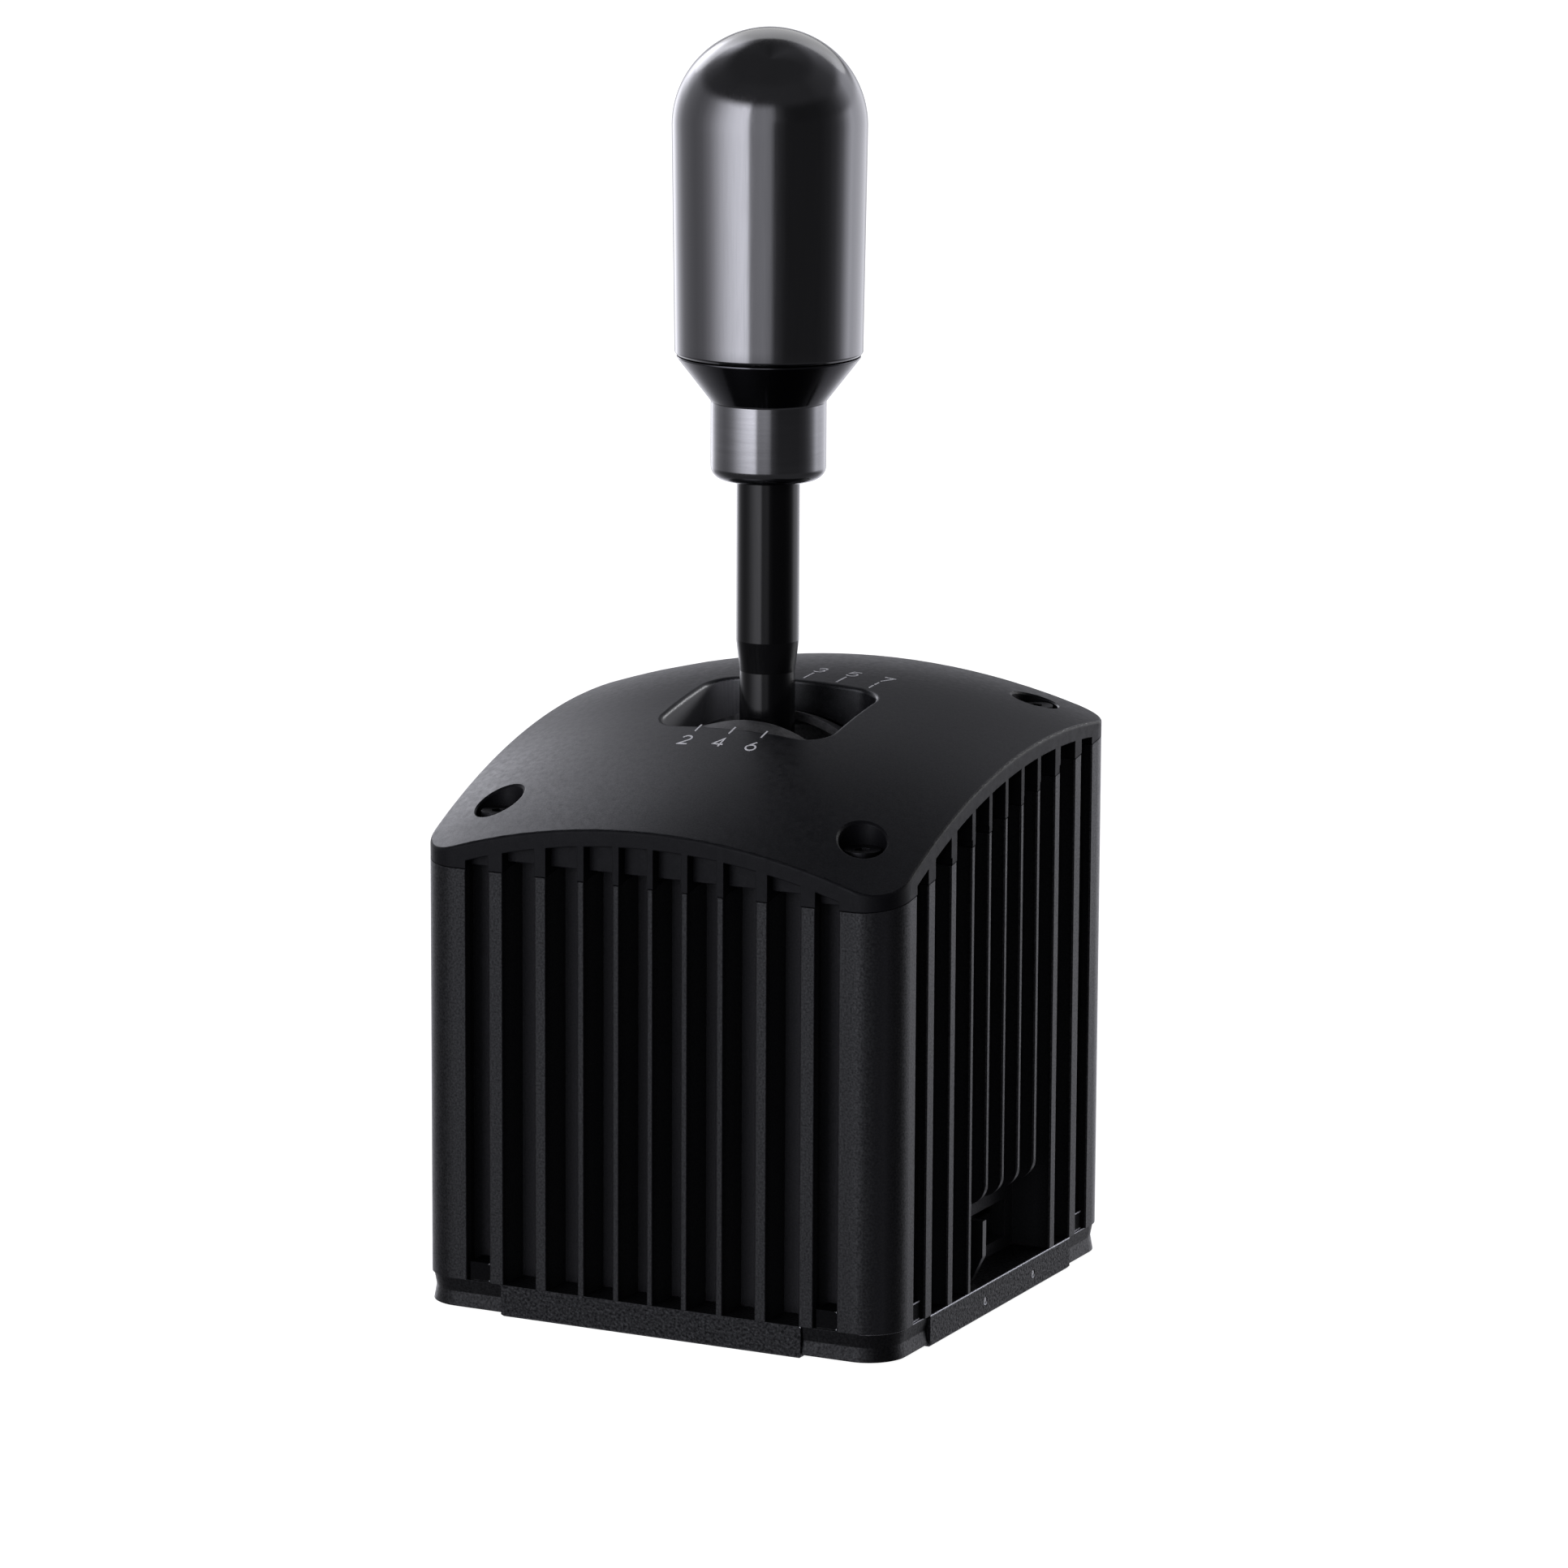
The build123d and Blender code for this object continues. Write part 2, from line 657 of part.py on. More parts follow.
def corner_cap(side_x, side_y):
    """One cap of the base's corners"""
    inner_edge = block_half + cap_gap
    width = half - inner_edge
    middle = inner_edge + width / 2
    with BuildPart() as cap:
        with BuildSketch(Plane.XY.offset(base_height)):
            RectangleRounded(cap_side, cap_side, corner_radius - cap_recess)
        extrude(amount=-cap_height / 2, taper=waist_angle)
        with BuildSketch(Plane.XY.offset(cap_lift)):
            RectangleRounded(cap_side, cap_side, corner_radius - cap_recess)
        extrude(amount=cap_height / 2, taper=waist_angle)
        with Locations((side_x * middle, side_y * middle, base_height / 2)):
            Box(width, width, base_height, mode=Mode.INTERSECT)
        tongue_middle = half - cap_recess - cap_waist - tongue_depth / 2
        tongue_low = base_height - cap_height / 2
        tongue_box = (slot_opening - 2 * tongue_gap, tongue_depth, tongue_height + cap_height / 2)
        with Locations((side_x * slot_place, side_y * tongue_middle, tongue_low)):
            Box(tongue_box[0], tongue_box[1], tongue_box[2], align=(Align.CENTER, Align.CENTER, Align.MIN))
        with Locations((side_x * tongue_middle, side_y * slot_place, tongue_low)):
            Box(tongue_box[1], tongue_box[0], tongue_box[2], align=(Align.CENTER, Align.CENTER, Align.MIN))
        with Locations((side_x * corner_screw_place, side_y * corner_screw_place, screw_seat)):
            Cylinder(head_radius + head_clearance, base_height,
                     align=(Align.CENTER, Align.CENTER, Align.MAX), mode=Mode.SUBTRACT)
            Cylinder(screw_clearance, base_height, mode=Mode.SUBTRACT)
    return cap.part


for (side_x, side_y), corner_name in cap_names.items():
    cap_shape = corner_cap(side_x, side_y)
    with BuildPart() as corner_cap_piece:
        add(cap_shape)
    corner_cap_piece.part.label = "corner_cap_" + corner_name
    export_step(corner_cap_piece.part, "parts/corner_cap_" + corner_name + ".step")

with BuildPart() as cap_screws:
    for x, y in corners(corner_screw_place, corner_screw_place):
        with Locations(Plane(origin=(x, y, screw_seat), z_dir=(0, 0, -1))):
            add(base_screw)
cap_screws.part.label = "cap_screws"
export_step(cap_screws.part, "parts/cap_screws.step")

# Frame: two bearing plates and two crossbars
def bearing_plate(side_x):
    """The upright plate at one side of the rocker"""
    with BuildPart() as plate:
        with BuildSketch(Plane(origin=(side_x * (plate_inner + plate_thickness), pivot_y, 0),
                               x_dir=(0, 1, 0), z_dir=(1, 0, 0))):
            with BuildLine():
                Polyline((-plate_width / 2, base_height), (plate_width / 2, base_height),
                         (plate_head / 2, pivot_z + plate_above), (-plate_head / 2, pivot_z + plate_above),
                         (-plate_width / 2, base_height))
            make_face()
        extrude(amount=-side_x * plate_thickness)
        with Locations(Plane(origin=(side_x * plate_inner, pivot_y, pivot_z), z_dir=(side_x, 0, 0))):
            Cylinder(bearing_radius, 2 * bearing_width, mode=Mode.SUBTRACT)
            Cylinder(bearing_radius - plate_lip, 2 * plate_thickness + overrun, mode=Mode.SUBTRACT)
        for y in (-plate_screw_place, plate_screw_place):
            with Locations((side_x * (plate_inner + plate_thickness / 2), pivot_y + y, base_height)):
                Cylinder(small_core, 2 * small_length, mode=Mode.SUBTRACT)
        for y in (-bar_place, bar_place):
            with Locations(Plane(origin=(side_x * plate_inner, pivot_y + y, bar_top - bar_height / 2),
                                 z_dir=(1, 0, 0))):
                Cylinder(small_clearance, 2 * plate_thickness + overrun, mode=Mode.SUBTRACT)
    return plate.part


def bearing(side_x):
    """A ball bearing, closed, with its races marked on both faces"""
    face = bearing_width - bearing_groove
    with BuildPart() as race:
        with BuildSketch(Plane(origin=(side_x * plate_inner, pivot_y, pivot_z), z_dir=(side_x, 0, 0))):
            Circle(bearing_radius)
            Circle(pin_radius + running_gap, mode=Mode.SUBTRACT)
        extrude(amount=bearing_width)
        for depth in (0, face):
            with BuildSketch(Plane(origin=(side_x * (plate_inner + depth), pivot_y, pivot_z),
                                   z_dir=(side_x, 0, 0))):
                Circle(bearing_radius - bearing_race)
                Circle(pin_radius + bearing_race, mode=Mode.SUBTRACT)
            extrude(amount=bearing_groove, mode=Mode.SUBTRACT)
    return race.part


def shift_pin(side_x):
    """One stub shaft of the rocker, with a collar against the bearing"""
    with BuildPart() as stub:
        with Locations(Plane(origin=(side_x * (rocker_width / 2), pivot_y, pivot_z), z_dir=(side_x, 0, 0))):
            Cylinder(pin_radius, pin_reach, align=(Align.CENTER, Align.CENTER, Align.MIN))
            Cylinder(pin_radius, pin_bed, align=(Align.CENTER, Align.CENTER, Align.MAX))
            Cylinder(pin_collar_radius, plate_gap - seat_gap, align=(Align.CENTER, Align.CENTER, Align.MIN))
    return stub.part


for side_x, side_name in ((-1, "left"), (1, "right")):
    plate_shape = bearing_plate(side_x)
    bearing_shape = bearing(side_x)
    pin_shape = shift_pin(side_x)
    with BuildPart() as bearing_plate_piece:
        add(plate_shape)
    bearing_plate_piece.part.label = "bearing_plate_" + side_name
    export_step(bearing_plate_piece.part, "parts/bearing_plate_" + side_name + ".step")
    with BuildPart() as bearing_piece:
        add(bearing_shape)
    bearing_piece.part.label = "shift_bearing_" + side_name
    export_step(bearing_piece.part, "parts/shift_bearing_" + side_name + ".step")
    with BuildPart() as shift_pin_piece:
        add(pin_shape)
    shift_pin_piece.part.label = "shift_pin_" + side_name
    export_step(shift_pin_piece.part, "parts/shift_pin_" + side_name + ".step")

for side_y, side_name in ((-1, "front"), (1, "rear")):
    with BuildPart() as crossbar_piece:
        with Locations((0, pivot_y + side_y * bar_place, bar_top - bar_height / 2)):
            Box(2 * plate_inner, bar_width, bar_height)
        for side_x in (-1, 1):
            with Locations(Plane(origin=(side_x * plate_inner, pivot_y + side_y * bar_place,
                                         bar_top - bar_height / 2), z_dir=(1, 0, 0))):
                Cylinder(small_core, 2 * small_length, mode=Mode.SUBTRACT)
        for x in (board_margin - board_left, board_right - board_margin):
            with Locations((x, pivot_y + side_y * bar_place, bar_top)):
                Cylinder(small_core, 2 * (bar_height - overrun), mode=Mode.SUBTRACT)
    crossbar_piece.part.label = "frame_crossbar_" + side_name
    export_step(crossbar_piece.part, "parts/frame_crossbar_" + side_name + ".step")

with BuildPart() as frame_screws:
    for x, y in corners(plate_inner + plate_thickness / 2, plate_screw_place):
        with Locations(Plane(origin=(x, pivot_y + y, screw_seat), z_dir=(0, 0, -1))):
            add(frame_screw)
    for side_x in (-1, 1):
        for y in (-bar_place, bar_place):
            with Locations(Plane(origin=(side_x * (plate_inner + plate_thickness), pivot_y + y,
                                         bar_top - bar_height / 2), z_dir=(side_x, 0, 0))):
                add(frame_screw)
frame_screws.part.label = "frame_screws"
export_step(frame_screws.part, "parts/frame_screws.step")

# Rocker: the ring that leans for each gear, with its cam, its spring arm and the cross pin
with BuildPart() as shift_rocker:
    with Locations(pivot):
        Box(rocker_width, rocker_depth, rocker_height)
        Box(rocker_window_width, rocker_window_depth, 2 * rocker_height, mode=Mode.SUBTRACT)
        Cylinder(pin_radius, 2 * rocker_depth, rotation=(90, 0, 0), mode=Mode.SUBTRACT)
        for side_x in (-1, 1):
            with Locations(Plane(origin=(side_x * rocker_width / 2, 0, 0), z_dir=(1, 0, 0))):
                Cylinder(pin_radius, 2 * pin_bed, mode=Mode.SUBTRACT)
    for x in (-shield_screw_place, shield_screw_place):
        for side_y in (-1, 1):
            with Locations(Plane(origin=(x, pivot_y + side_y * rocker_depth / 2, pivot_z),
                                 z_dir=(0, 1, 0))):
                Cylinder(small_core, rocker_depth - rocker_window_depth, mode=Mode.SUBTRACT)
shift_rocker.part.label = "shift_rocker"
export_step(shift_rocker.part, "parts/shift_rocker.step")

cam_low_width = cam_radius * sin(radians(cam_half_angle))
cam_side_drop = cam_radius * cos(radians(cam_half_angle))
ball_out_radius = cam_radius + detent_ball - detent_bite + detent_gap
with BuildPart() as detent_cam:
    with BuildSketch(Plane(origin=(cam_place - cam_thickness / 2, pivot_y, pivot_z),
                           x_dir=(0, 1, 0), z_dir=(1, 0, 0))):
        with BuildLine():
            Polyline((-cam_low_width, -cam_side_drop), (-cam_top_width / 2, -rocker_height / 2),
                     (cam_top_width / 2, -rocker_height / 2), (cam_low_width, -cam_side_drop))
            ThreePointArc((cam_low_width, -cam_side_drop), (0, -cam_radius),
                          (-cam_low_width, -cam_side_drop))
        make_face()
    extrude(amount=cam_thickness)
    for angle in (-shift_angle, 0, shift_angle):
        notch_y = pivot_y + ball_out_radius * sin(radians(angle))
        notch_z = pivot_z - ball_out_radius * cos(radians(angle))
        with Locations((cam_place, notch_y, notch_z)):
            Sphere(detent_ball + detent_gap, mode=Mode.SUBTRACT)
detent_cam.part.label = "detent_cam"
export_step(detent_cam.part, "parts/detent_cam.step")

with BuildPart() as spring_arm:
    with Locations((-cam_place, pivot_y, pivot_z - rocker_height / 2)):
        Box(cam_thickness, arm_depth, arm_length, align=(Align.CENTER, Align.CENTER, Align.MAX))
spring_arm.part.label = "spring_arm"
export_step(spring_arm.part, "parts/spring_arm.step")

with BuildPart() as select_pin:
    with Locations(pivot):
        Cylinder(pin_radius, rocker_depth, rotation=(90, 0, 0))
select_pin.part.label = "select_pin"
export_step(select_pin.part, "parts/select_pin.step")

with BuildPart() as shield_screws:
    for side_y in (-1, 1):
        for x in (-shield_screw_place, shield_screw_place):
            seat_y = pivot_y + side_y * (rocker_depth / 2 + shield_leg_wall)
            with Locations(Plane(origin=(x, seat_y, pivot_z), z_dir=(0, side_y, 0))):
                add(shield_screw)
shield_screws.part.label = "shield_screws"
export_step(shield_screws.part, "parts/shield_screws.step")

# Lever hub on the cross pin, with a sliding seat for the rod and a tail with the magnet
press_pin_reach = hub_neck_radius - press_pin_inset
with BuildPart() as lever_hub:
    with Locations((0, pivot_y, pivot_z - hub_below)):
        Box(hub_width, hub_depth, hub_below + hub_above, align=(Align.CENTER, Align.CENTER, Align.MIN))
    with Locations(pivot):
        Cylinder(hub_neck_radius, hub_neck_top - pivot_z, align=(Align.CENTER, Align.CENTER, Align.MIN))
        Cylinder(tail_radius, tail_below, align=(Align.CENTER, Align.CENTER, Align.MAX))
        Cylinder(bush_radius, 2 * rocker_depth, rotation=(90, 0, 0), mode=Mode.SUBTRACT)
    with Locations((0, pivot_y, pivot_z + hub_bore_above)):
        Cylinder(rod_low_radius + running_gap, hub_neck_top - pivot_z,
                 align=(Align.CENTER, Align.CENTER, Align.MIN), mode=Mode.SUBTRACT)
    slot_reach = press_pin_radius + running_gap
    with Locations((0, pivot_y, press_pin_height + slot_reach)):
        Box(2 * hub_neck_radius + overrun, 2 * slot_reach, press_travel + 2 * slot_reach,
            align=(Align.CENTER, Align.CENTER, Align.MAX), mode=Mode.SUBTRACT)
lever_hub.part.label = "lever_hub"
export_step(lever_hub.part, "parts/lever_hub.step")

for side_y, side_name in ((-1, "front"), (1, "rear")):
    with BuildPart() as bush:
        with Locations(Plane(origin=(0, pivot_y + side_y * hub_depth / 2, pivot_z), z_dir=(0, side_y, 0))):
            Cylinder(bush_flange_radius, bush_flange, align=(Align.CENTER, Align.CENTER, Align.MIN))
            Cylinder(bush_radius, bush_length, align=(Align.CENTER, Align.CENTER, Align.MAX))
            Cylinder(pin_radius + running_gap, rocker_depth, mode=Mode.SUBTRACT)
    bush.part.label = "select_bush_" + side_name
    export_step(bush.part, "parts/select_bush_" + side_name + ".step")

with BuildPart() as lever_magnet:
    with Locations((0, pivot_y, pivot_z - tail_below)):
        Cylinder(magnet_radius, magnet_height, align=(Align.CENTER, Align.CENTER, Align.MAX))
lever_magnet.part.label = "lever_magnet"
export_step(lever_magnet.part, "parts/lever_magnet.step")

# Centring springs at both sides of the tail
spring_reach = cam_place - cam_thickness / 2 - tail_radius - 2 * spring_gap
centring_coil = spring(centring_spring_radius, spring_reach, centring_spring_turns)
for side_x, side_name in ((-1, "left"), (1, "right")):
    with BuildPart() as centring_spring:
        with Locations(Plane(origin=(side_x * (tail_radius + spring_gap), pivot_y,
                                     pivot_z - centring_spring_drop), z_dir=(side_x, 0, 0))):
            add(centring_coil)
    centring_spring.part.label = "centring_spring_" + side_name
    export_step(centring_spring.part, "parts/centring_spring_" + side_name + ".step")

# Shift rod, its cross pin and the spring beneath it
thread_low = neck_bottom + rod_seat
rod_top = seam_height + spigot_length + insert_length - overrun
with BuildPart() as rod_turned:
    with BuildSketch(Plane.XZ):
        with BuildLine():
            Polyline((0, rod_bottom), (rod_low_radius, rod_bottom), (rod_low_radius, taper_low),
                     (rod_radius, taper_high), (rod_radius, thread_low), (rod_thread_radius, thread_low),
                     (rod_thread_radius, rod_top), (0, rod_top), (0, rod_bottom))
        make_face()
    revolve(axis=Axis.Z)
    with Locations(Plane(origin=(0, 0, press_pin_height), z_dir=(1, 0, 0))):
        Cylinder(press_pin_radius, 2 * rod_radius + overrun, mode=Mode.SUBTRACT)
with BuildPart() as shift_rod:
    with Locations((0, pivot_y, 0)):
        add(rod_turned.part)
shift_rod.part.label = "shift_rod"
export_step(shift_rod.part, "parts/shift_rod.step")

with BuildPart() as press_pin:
    with Locations(Plane(origin=(0, pivot_y, press_pin_height), z_dir=(1, 0, 0))):
        Cylinder(press_pin_radius, 2 * press_pin_reach)
press_pin.part.label = "press_pin"
export_step(press_pin.part, "parts/press_pin.step")

press_spring_low = pivot_z + hub_bore_above + spring_gap
press_coil = spring(press_spring_radius, rod_bottom - spring_gap - press_spring_low, press_spring_turns)
with BuildPart() as press_spring:
    with Locations((0, pivot_y, press_spring_low)):
        add(press_coil)
press_spring.part.label = "press_spring"
export_step(press_spring.part, "parts/press_spring.step")

# Knob: a collar with its neck and cone, a domed body and a threaded insert
neck_turn = neck_round * (1 - cos(radians(45)))
with BuildPart() as collar_turned:
    with BuildSketch(Plane.XZ):
        with BuildLine():
            Polyline((rod_radius, neck_bottom), (neck_radius - neck_round, neck_bottom))
            ThreePointArc((neck_radius - neck_round, neck_bottom),
                          (neck_radius - neck_turn, neck_bottom + neck_turn),
                          (neck_radius, neck_bottom + neck_round))
            Polyline((neck_radius, neck_bottom + neck_round), (neck_radius, neck_top),
                     (knob_low_radius - knob_seam, seam_height - knob_seam),
                     (knob_low_radius - 2 * knob_seam, seam_height), (spigot_radius, seam_height),
                     (spigot_radius, seam_height + spigot_length),
                     (rod_thread_radius, seam_height + spigot_length), (rod_thread_radius, thread_low),
                     (rod_radius, thread_low), (rod_radius, neck_bottom))
        make_face()
    revolve(axis=Axis.Z)
with BuildPart() as knob_collar:
    with Locations((0, pivot_y, 0)):
        add(collar_turned.part)
knob_collar.part.label = "knob_collar"
export_step(knob_collar.part, "parts/knob_collar.step")

dome_low = knob_top - knob_radius
dome_turn = knob_radius * sin(radians(45))
insert_low = seam_height + spigot_length
with BuildPart() as body_turned:
    with BuildSketch(Plane.XZ):
        with BuildLine():
            Polyline((spigot_radius, seam_height), (knob_low_radius - knob_chamfer, seam_height),
                     (knob_low_radius, seam_height + knob_chamfer), (knob_radius, dome_low))
            ThreePointArc((knob_radius, dome_low), (dome_turn, dome_low + dome_turn), (0, knob_top))
            Polyline((0, knob_top), (0, insert_low + insert_length),
                     (insert_radius, insert_low + insert_length), (insert_radius, insert_low),
                     (spigot_radius, insert_low), (spigot_radius, seam_height))
        make_face()
    revolve(axis=Axis.Z)
with BuildPart() as knob_body:
    with Locations((0, pivot_y, 0)):
        add(body_turned.part)
knob_body.part.label = "knob_body"
export_step(knob_body.part, "parts/knob_body.step")

with BuildPart() as knob_insert:
    with Locations((0, pivot_y, insert_low)):
        Cylinder(insert_radius, insert_length, align=(Align.CENTER, Align.CENTER, Align.MIN))
        Cylinder(rod_thread_radius, 2 * insert_length, mode=Mode.SUBTRACT)
knob_insert.part.label = "knob_insert"
export_step(knob_insert.part, "parts/knob_insert.step")

# Shift detent: block, plunger, spring and the adjuster below it
block_top = base_height + block_height
plunger_bore = plunger_flange + running_gap
with BuildPart() as detent_block:
    with Locations((cam_place, pivot_y, base_height)):
        Box(block_width, block_depth, block_height, align=(Align.CENTER, Align.CENTER, Align.MIN))
        Cylinder(plunger_bore, block_height - block_cap,
                 align=(Align.CENTER, Align.CENTER, Align.MIN), mode=Mode.SUBTRACT)
        Cylinder(detent_ball + running_gap, 2 * block_height + overrun, mode=Mode.SUBTRACT)
detent_block.part.label = "detent_block"
export_step(detent_block.part, "parts/detent_block.step")

ball_height = pivot_z - cam_radius - detent_gap - detent_ball
flange_top = block_top - block_cap - detent_bite
flange_low = flange_top - plunger_flange_height
with BuildPart() as detent_plunger:
    with Locations((cam_place, pivot_y, ball_height)):
        Sphere(detent_ball)
        Cylinder(detent_ball, ball_height - flange_top, align=(Align.CENTER, Align.CENTER, Align.MAX))
    with Locations((cam_place, pivot_y, flange_low)):
        Cylinder(plunger_flange, plunger_flange_height, align=(Align.CENTER, Align.CENTER, Align.MIN))
        Cylinder(plunger_stub_radius, plunger_stub_length, align=(Align.CENTER, Align.CENTER, Align.MAX))
detent_plunger.part.label = "detent_plunger"
export_step(detent_plunger.part, "parts/detent_plunger.step")

detent_coil = spring(detent_spring_radius, flange_low - base_height - 2 * spring_gap, detent_spring_turns)
with BuildPart() as detent_spring:
    with Locations((cam_place, pivot_y, base_height + spring_gap)):
        add(detent_coil)
detent_spring.part.label = "detent_spring"
export_step(detent_spring.part, "parts/detent_spring.step")

with BuildPart() as adjuster_screw:
    with Locations((cam_place, pivot_y, base_height)):
        Cylinder(adjuster_radius, adjuster_height, align=(Align.CENTER, Align.CENTER, Align.MAX))
    with BuildSketch(Plane.XY.offset(base_height - adjuster_height)):
        with Locations((cam_place, pivot_y)):
            RegularPolygon(adjuster_key, side_count + 2)
    extrude(amount=adjuster_key_depth, mode=Mode.SUBTRACT)
adjuster_screw.part.label = "adjuster_screw"
export_step(adjuster_screw.part, "parts/adjuster_screw.step")

# Mode selector: tab, carriage, guide rod, brackets and the sensor strip over them
tab_face = half - tab_inset
tab_low = base_height + tab_lift
with BuildPart() as mode_tab:
    with BuildSketch(Plane(origin=(0, selector_rest + tab_thickness / 2, 0),
                           x_dir=(1, 0, 0), z_dir=(0, -1, 0))):
        with BuildLine():
            Polyline((tab_face - tab_depth, tab_low), (tab_face - tab_lean, tab_low),
                     (tab_face, tab_low + tab_taper), (tab_face, tab_low + tab_height),
                     (tab_face - tab_depth, tab_low + tab_height), (tab_face - tab_depth, tab_low))
        make_face()
    extrude(amount=tab_thickness)
    stem_start = carriage_place + carriage_width / 2
    stem_length = tab_face - tab_depth + overrun - stem_start
    with Locations((stem_start + stem_length / 2, selector_rest, base_height + stem_low + stem_height / 2)):
        Box(stem_length, stem_width, stem_height)
mode_tab.part.label = "mode_tab"
export_step(mode_tab.part, "parts/mode_tab.step")

guide_axis_height = base_height + guide_height
with BuildPart() as mode_carriage:
    with Locations((carriage_place, selector_rest, guide_axis_height)):
        Box(carriage_width, carriage_length, carriage_height)
        Cylinder(guide_radius + running_gap, 2 * carriage_length, rotation=(90, 0, 0), mode=Mode.SUBTRACT)
mode_carriage.part.label = "mode_carriage"
export_step(mode_carriage.part, "parts/mode_carriage.step")

guide_length = bracket_rear - bracket_front + bracket_thickness
guide_middle = (carriage_place, (bracket_front + bracket_rear) / 2, guide_axis_height)
with BuildPart() as mode_guide_rod:
    with Locations(guide_middle):
        Cylinder(guide_radius, guide_length, rotation=(90, 0, 0))
mode_guide_rod.part.label = "mode_guide_rod"
export_step(mode_guide_rod.part, "parts/mode_guide_rod.step")

with BuildPart() as mode_brackets:
    for y in (bracket_front, bracket_rear):
        with Locations((carriage_place, y, base_height)):
            Box(carriage_width, bracket_thickness, bracket_height, align=(Align.CENTER, Align.CENTER, Align.MIN))
            Cylinder(bracket_peg_radius, bracket_peg_length, align=(Align.CENTER, Align.CENTER, Align.MAX))
    with Locations(guide_middle):
        Cylinder(guide_radius, guide_length + overrun, rotation=(90, 0, 0), mode=Mode.SUBTRACT)
mode_brackets.part.label = "mode_brackets"
export_step(mode_brackets.part, "parts/mode_brackets.step")

with BuildPart() as mode_strip:
    with Locations((carriage_place, guide_middle[1], base_height + bracket_height)):
        Box(carriage_width, guide_length, strip_thickness, align=(Align.CENTER, Align.CENTER, Align.MIN))
mode_strip.part.label = "mode_strip"
export_step(mode_strip.part, "parts/mode_strip.step")

# Sensor board on the crossbars, beneath the magnet, and the data socket in the rear wall
board_places = [(x, pivot_y + y) for x in (board_margin - board_left, board_right - board_margin)
                for y in (-bar_place, bar_place)]
with BuildPart() as board_standoffs:
    for x, y in board_places:
        with Locations((x, y, bar_top)):
            Cylinder(standoff_radius, standoff_length, align=(Align.CENTER, Align.CENTER, Align.MIN))
            Cylinder(small_core, 2 * standoff_length + overrun, mode=Mode.SUBTRACT)
board_standoffs.part.label = "board_standoffs"
export_step(board_standoffs.part, "parts/board_standoffs.step")

with BuildPart() as sensor_board:
    with Locations(((board_right - board_left) / 2, pivot_y, board_low)):
        Box(board_left + board_right, board_width, board_thickness, align=(Align.CENTER, Align.CENTER, Align.MIN))
    with Locations(*[(x, y, board_low) for x, y in board_places]):
        Cylinder(small_core, 2 * board_thickness + overrun, mode=Mode.SUBTRACT)
sensor_board.part.label = "sensor_board"
export_step(sensor_board.part, "parts/sensor_board.step")

with BuildPart() as hall_sensors:
    for x in (-chip_spacing, 0):
        for y in (-chip_spacing, 0, chip_spacing):
            with Locations((x, pivot_y + y, board_low + board_thickness)):
                Box(chip_size, chip_size, chip_height, align=(Align.CENTER, Align.CENTER, Align.MIN))
hall_sensors.part.label = "hall_sensors"
export_step(hall_sensors.part, "parts/hall_sensors.step")

with BuildPart() as board_screws:
    for x, y in board_places:
        with Locations((x, y, board_low + board_thickness)):
            add(frame_screw)
board_screws.part.label = "board_screws"
export_step(board_screws.part, "parts/board_screws.step")

socket_face = half - groove_depth + socket_proud
with BuildPart() as data_socket:
    with Locations((0, socket_face - socket_length / 2, base_height)):
        Box(socket_width, socket_length, socket_height, align=(Align.CENTER, Align.CENTER, Align.MIN))
    with Locations((0, socket_face, base_height + socket_height / 2)):
        Box(port_width, 2 * port_depth, port_height, mode=Mode.SUBTRACT)
data_socket.part.label = "data_socket"
export_step(data_socket.part, "parts/data_socket.step")
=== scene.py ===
import json
from math import acos, atan2, cos, hypot, pi, radians, sin, sqrt

import bpy
from mathutils import Matrix, Vector


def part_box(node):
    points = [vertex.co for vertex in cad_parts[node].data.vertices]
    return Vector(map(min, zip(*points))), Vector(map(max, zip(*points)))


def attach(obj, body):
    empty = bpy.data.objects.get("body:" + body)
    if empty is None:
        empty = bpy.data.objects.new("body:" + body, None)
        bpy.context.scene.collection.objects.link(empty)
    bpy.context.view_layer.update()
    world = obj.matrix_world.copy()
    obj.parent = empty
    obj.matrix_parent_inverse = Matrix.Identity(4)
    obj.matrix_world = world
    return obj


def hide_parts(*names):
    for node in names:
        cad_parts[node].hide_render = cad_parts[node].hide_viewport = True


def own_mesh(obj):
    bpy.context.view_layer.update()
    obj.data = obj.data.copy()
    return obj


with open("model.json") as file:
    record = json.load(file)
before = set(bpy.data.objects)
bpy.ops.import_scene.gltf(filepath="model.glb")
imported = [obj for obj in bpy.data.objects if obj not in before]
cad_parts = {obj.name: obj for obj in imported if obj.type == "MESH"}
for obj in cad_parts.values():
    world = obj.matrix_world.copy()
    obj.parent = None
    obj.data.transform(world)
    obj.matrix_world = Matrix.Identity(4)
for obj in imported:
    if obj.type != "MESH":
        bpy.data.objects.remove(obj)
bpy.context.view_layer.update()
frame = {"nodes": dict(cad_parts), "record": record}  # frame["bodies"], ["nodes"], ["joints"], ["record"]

scene = bpy.context.scene
MM = 0.001    # lengths in this script are in mm, unless they say otherwise

# ---------------------------------------------------------------- camera
VIEW_YAW, VIEW_PITCH, VIEW_ROLL = radians(26.388), radians(11.566), radians(0.289)
VIEW_PLACE = Vector((612.7, -1228.9, 378.5)) * MM
VIEW_LENS, VIEW_SENSOR = 167.70, 36.0
VIEW_NEAR, VIEW_FAR = 0.01, 100.0    # m

# Level directions: from the object to the photograph's side, and to the picture's right
TOWARD = Vector((sin(VIEW_YAW), -cos(VIEW_YAW), 0.0))
ASIDE = Vector((cos(VIEW_YAW), sin(VIEW_YAW), 0.0))


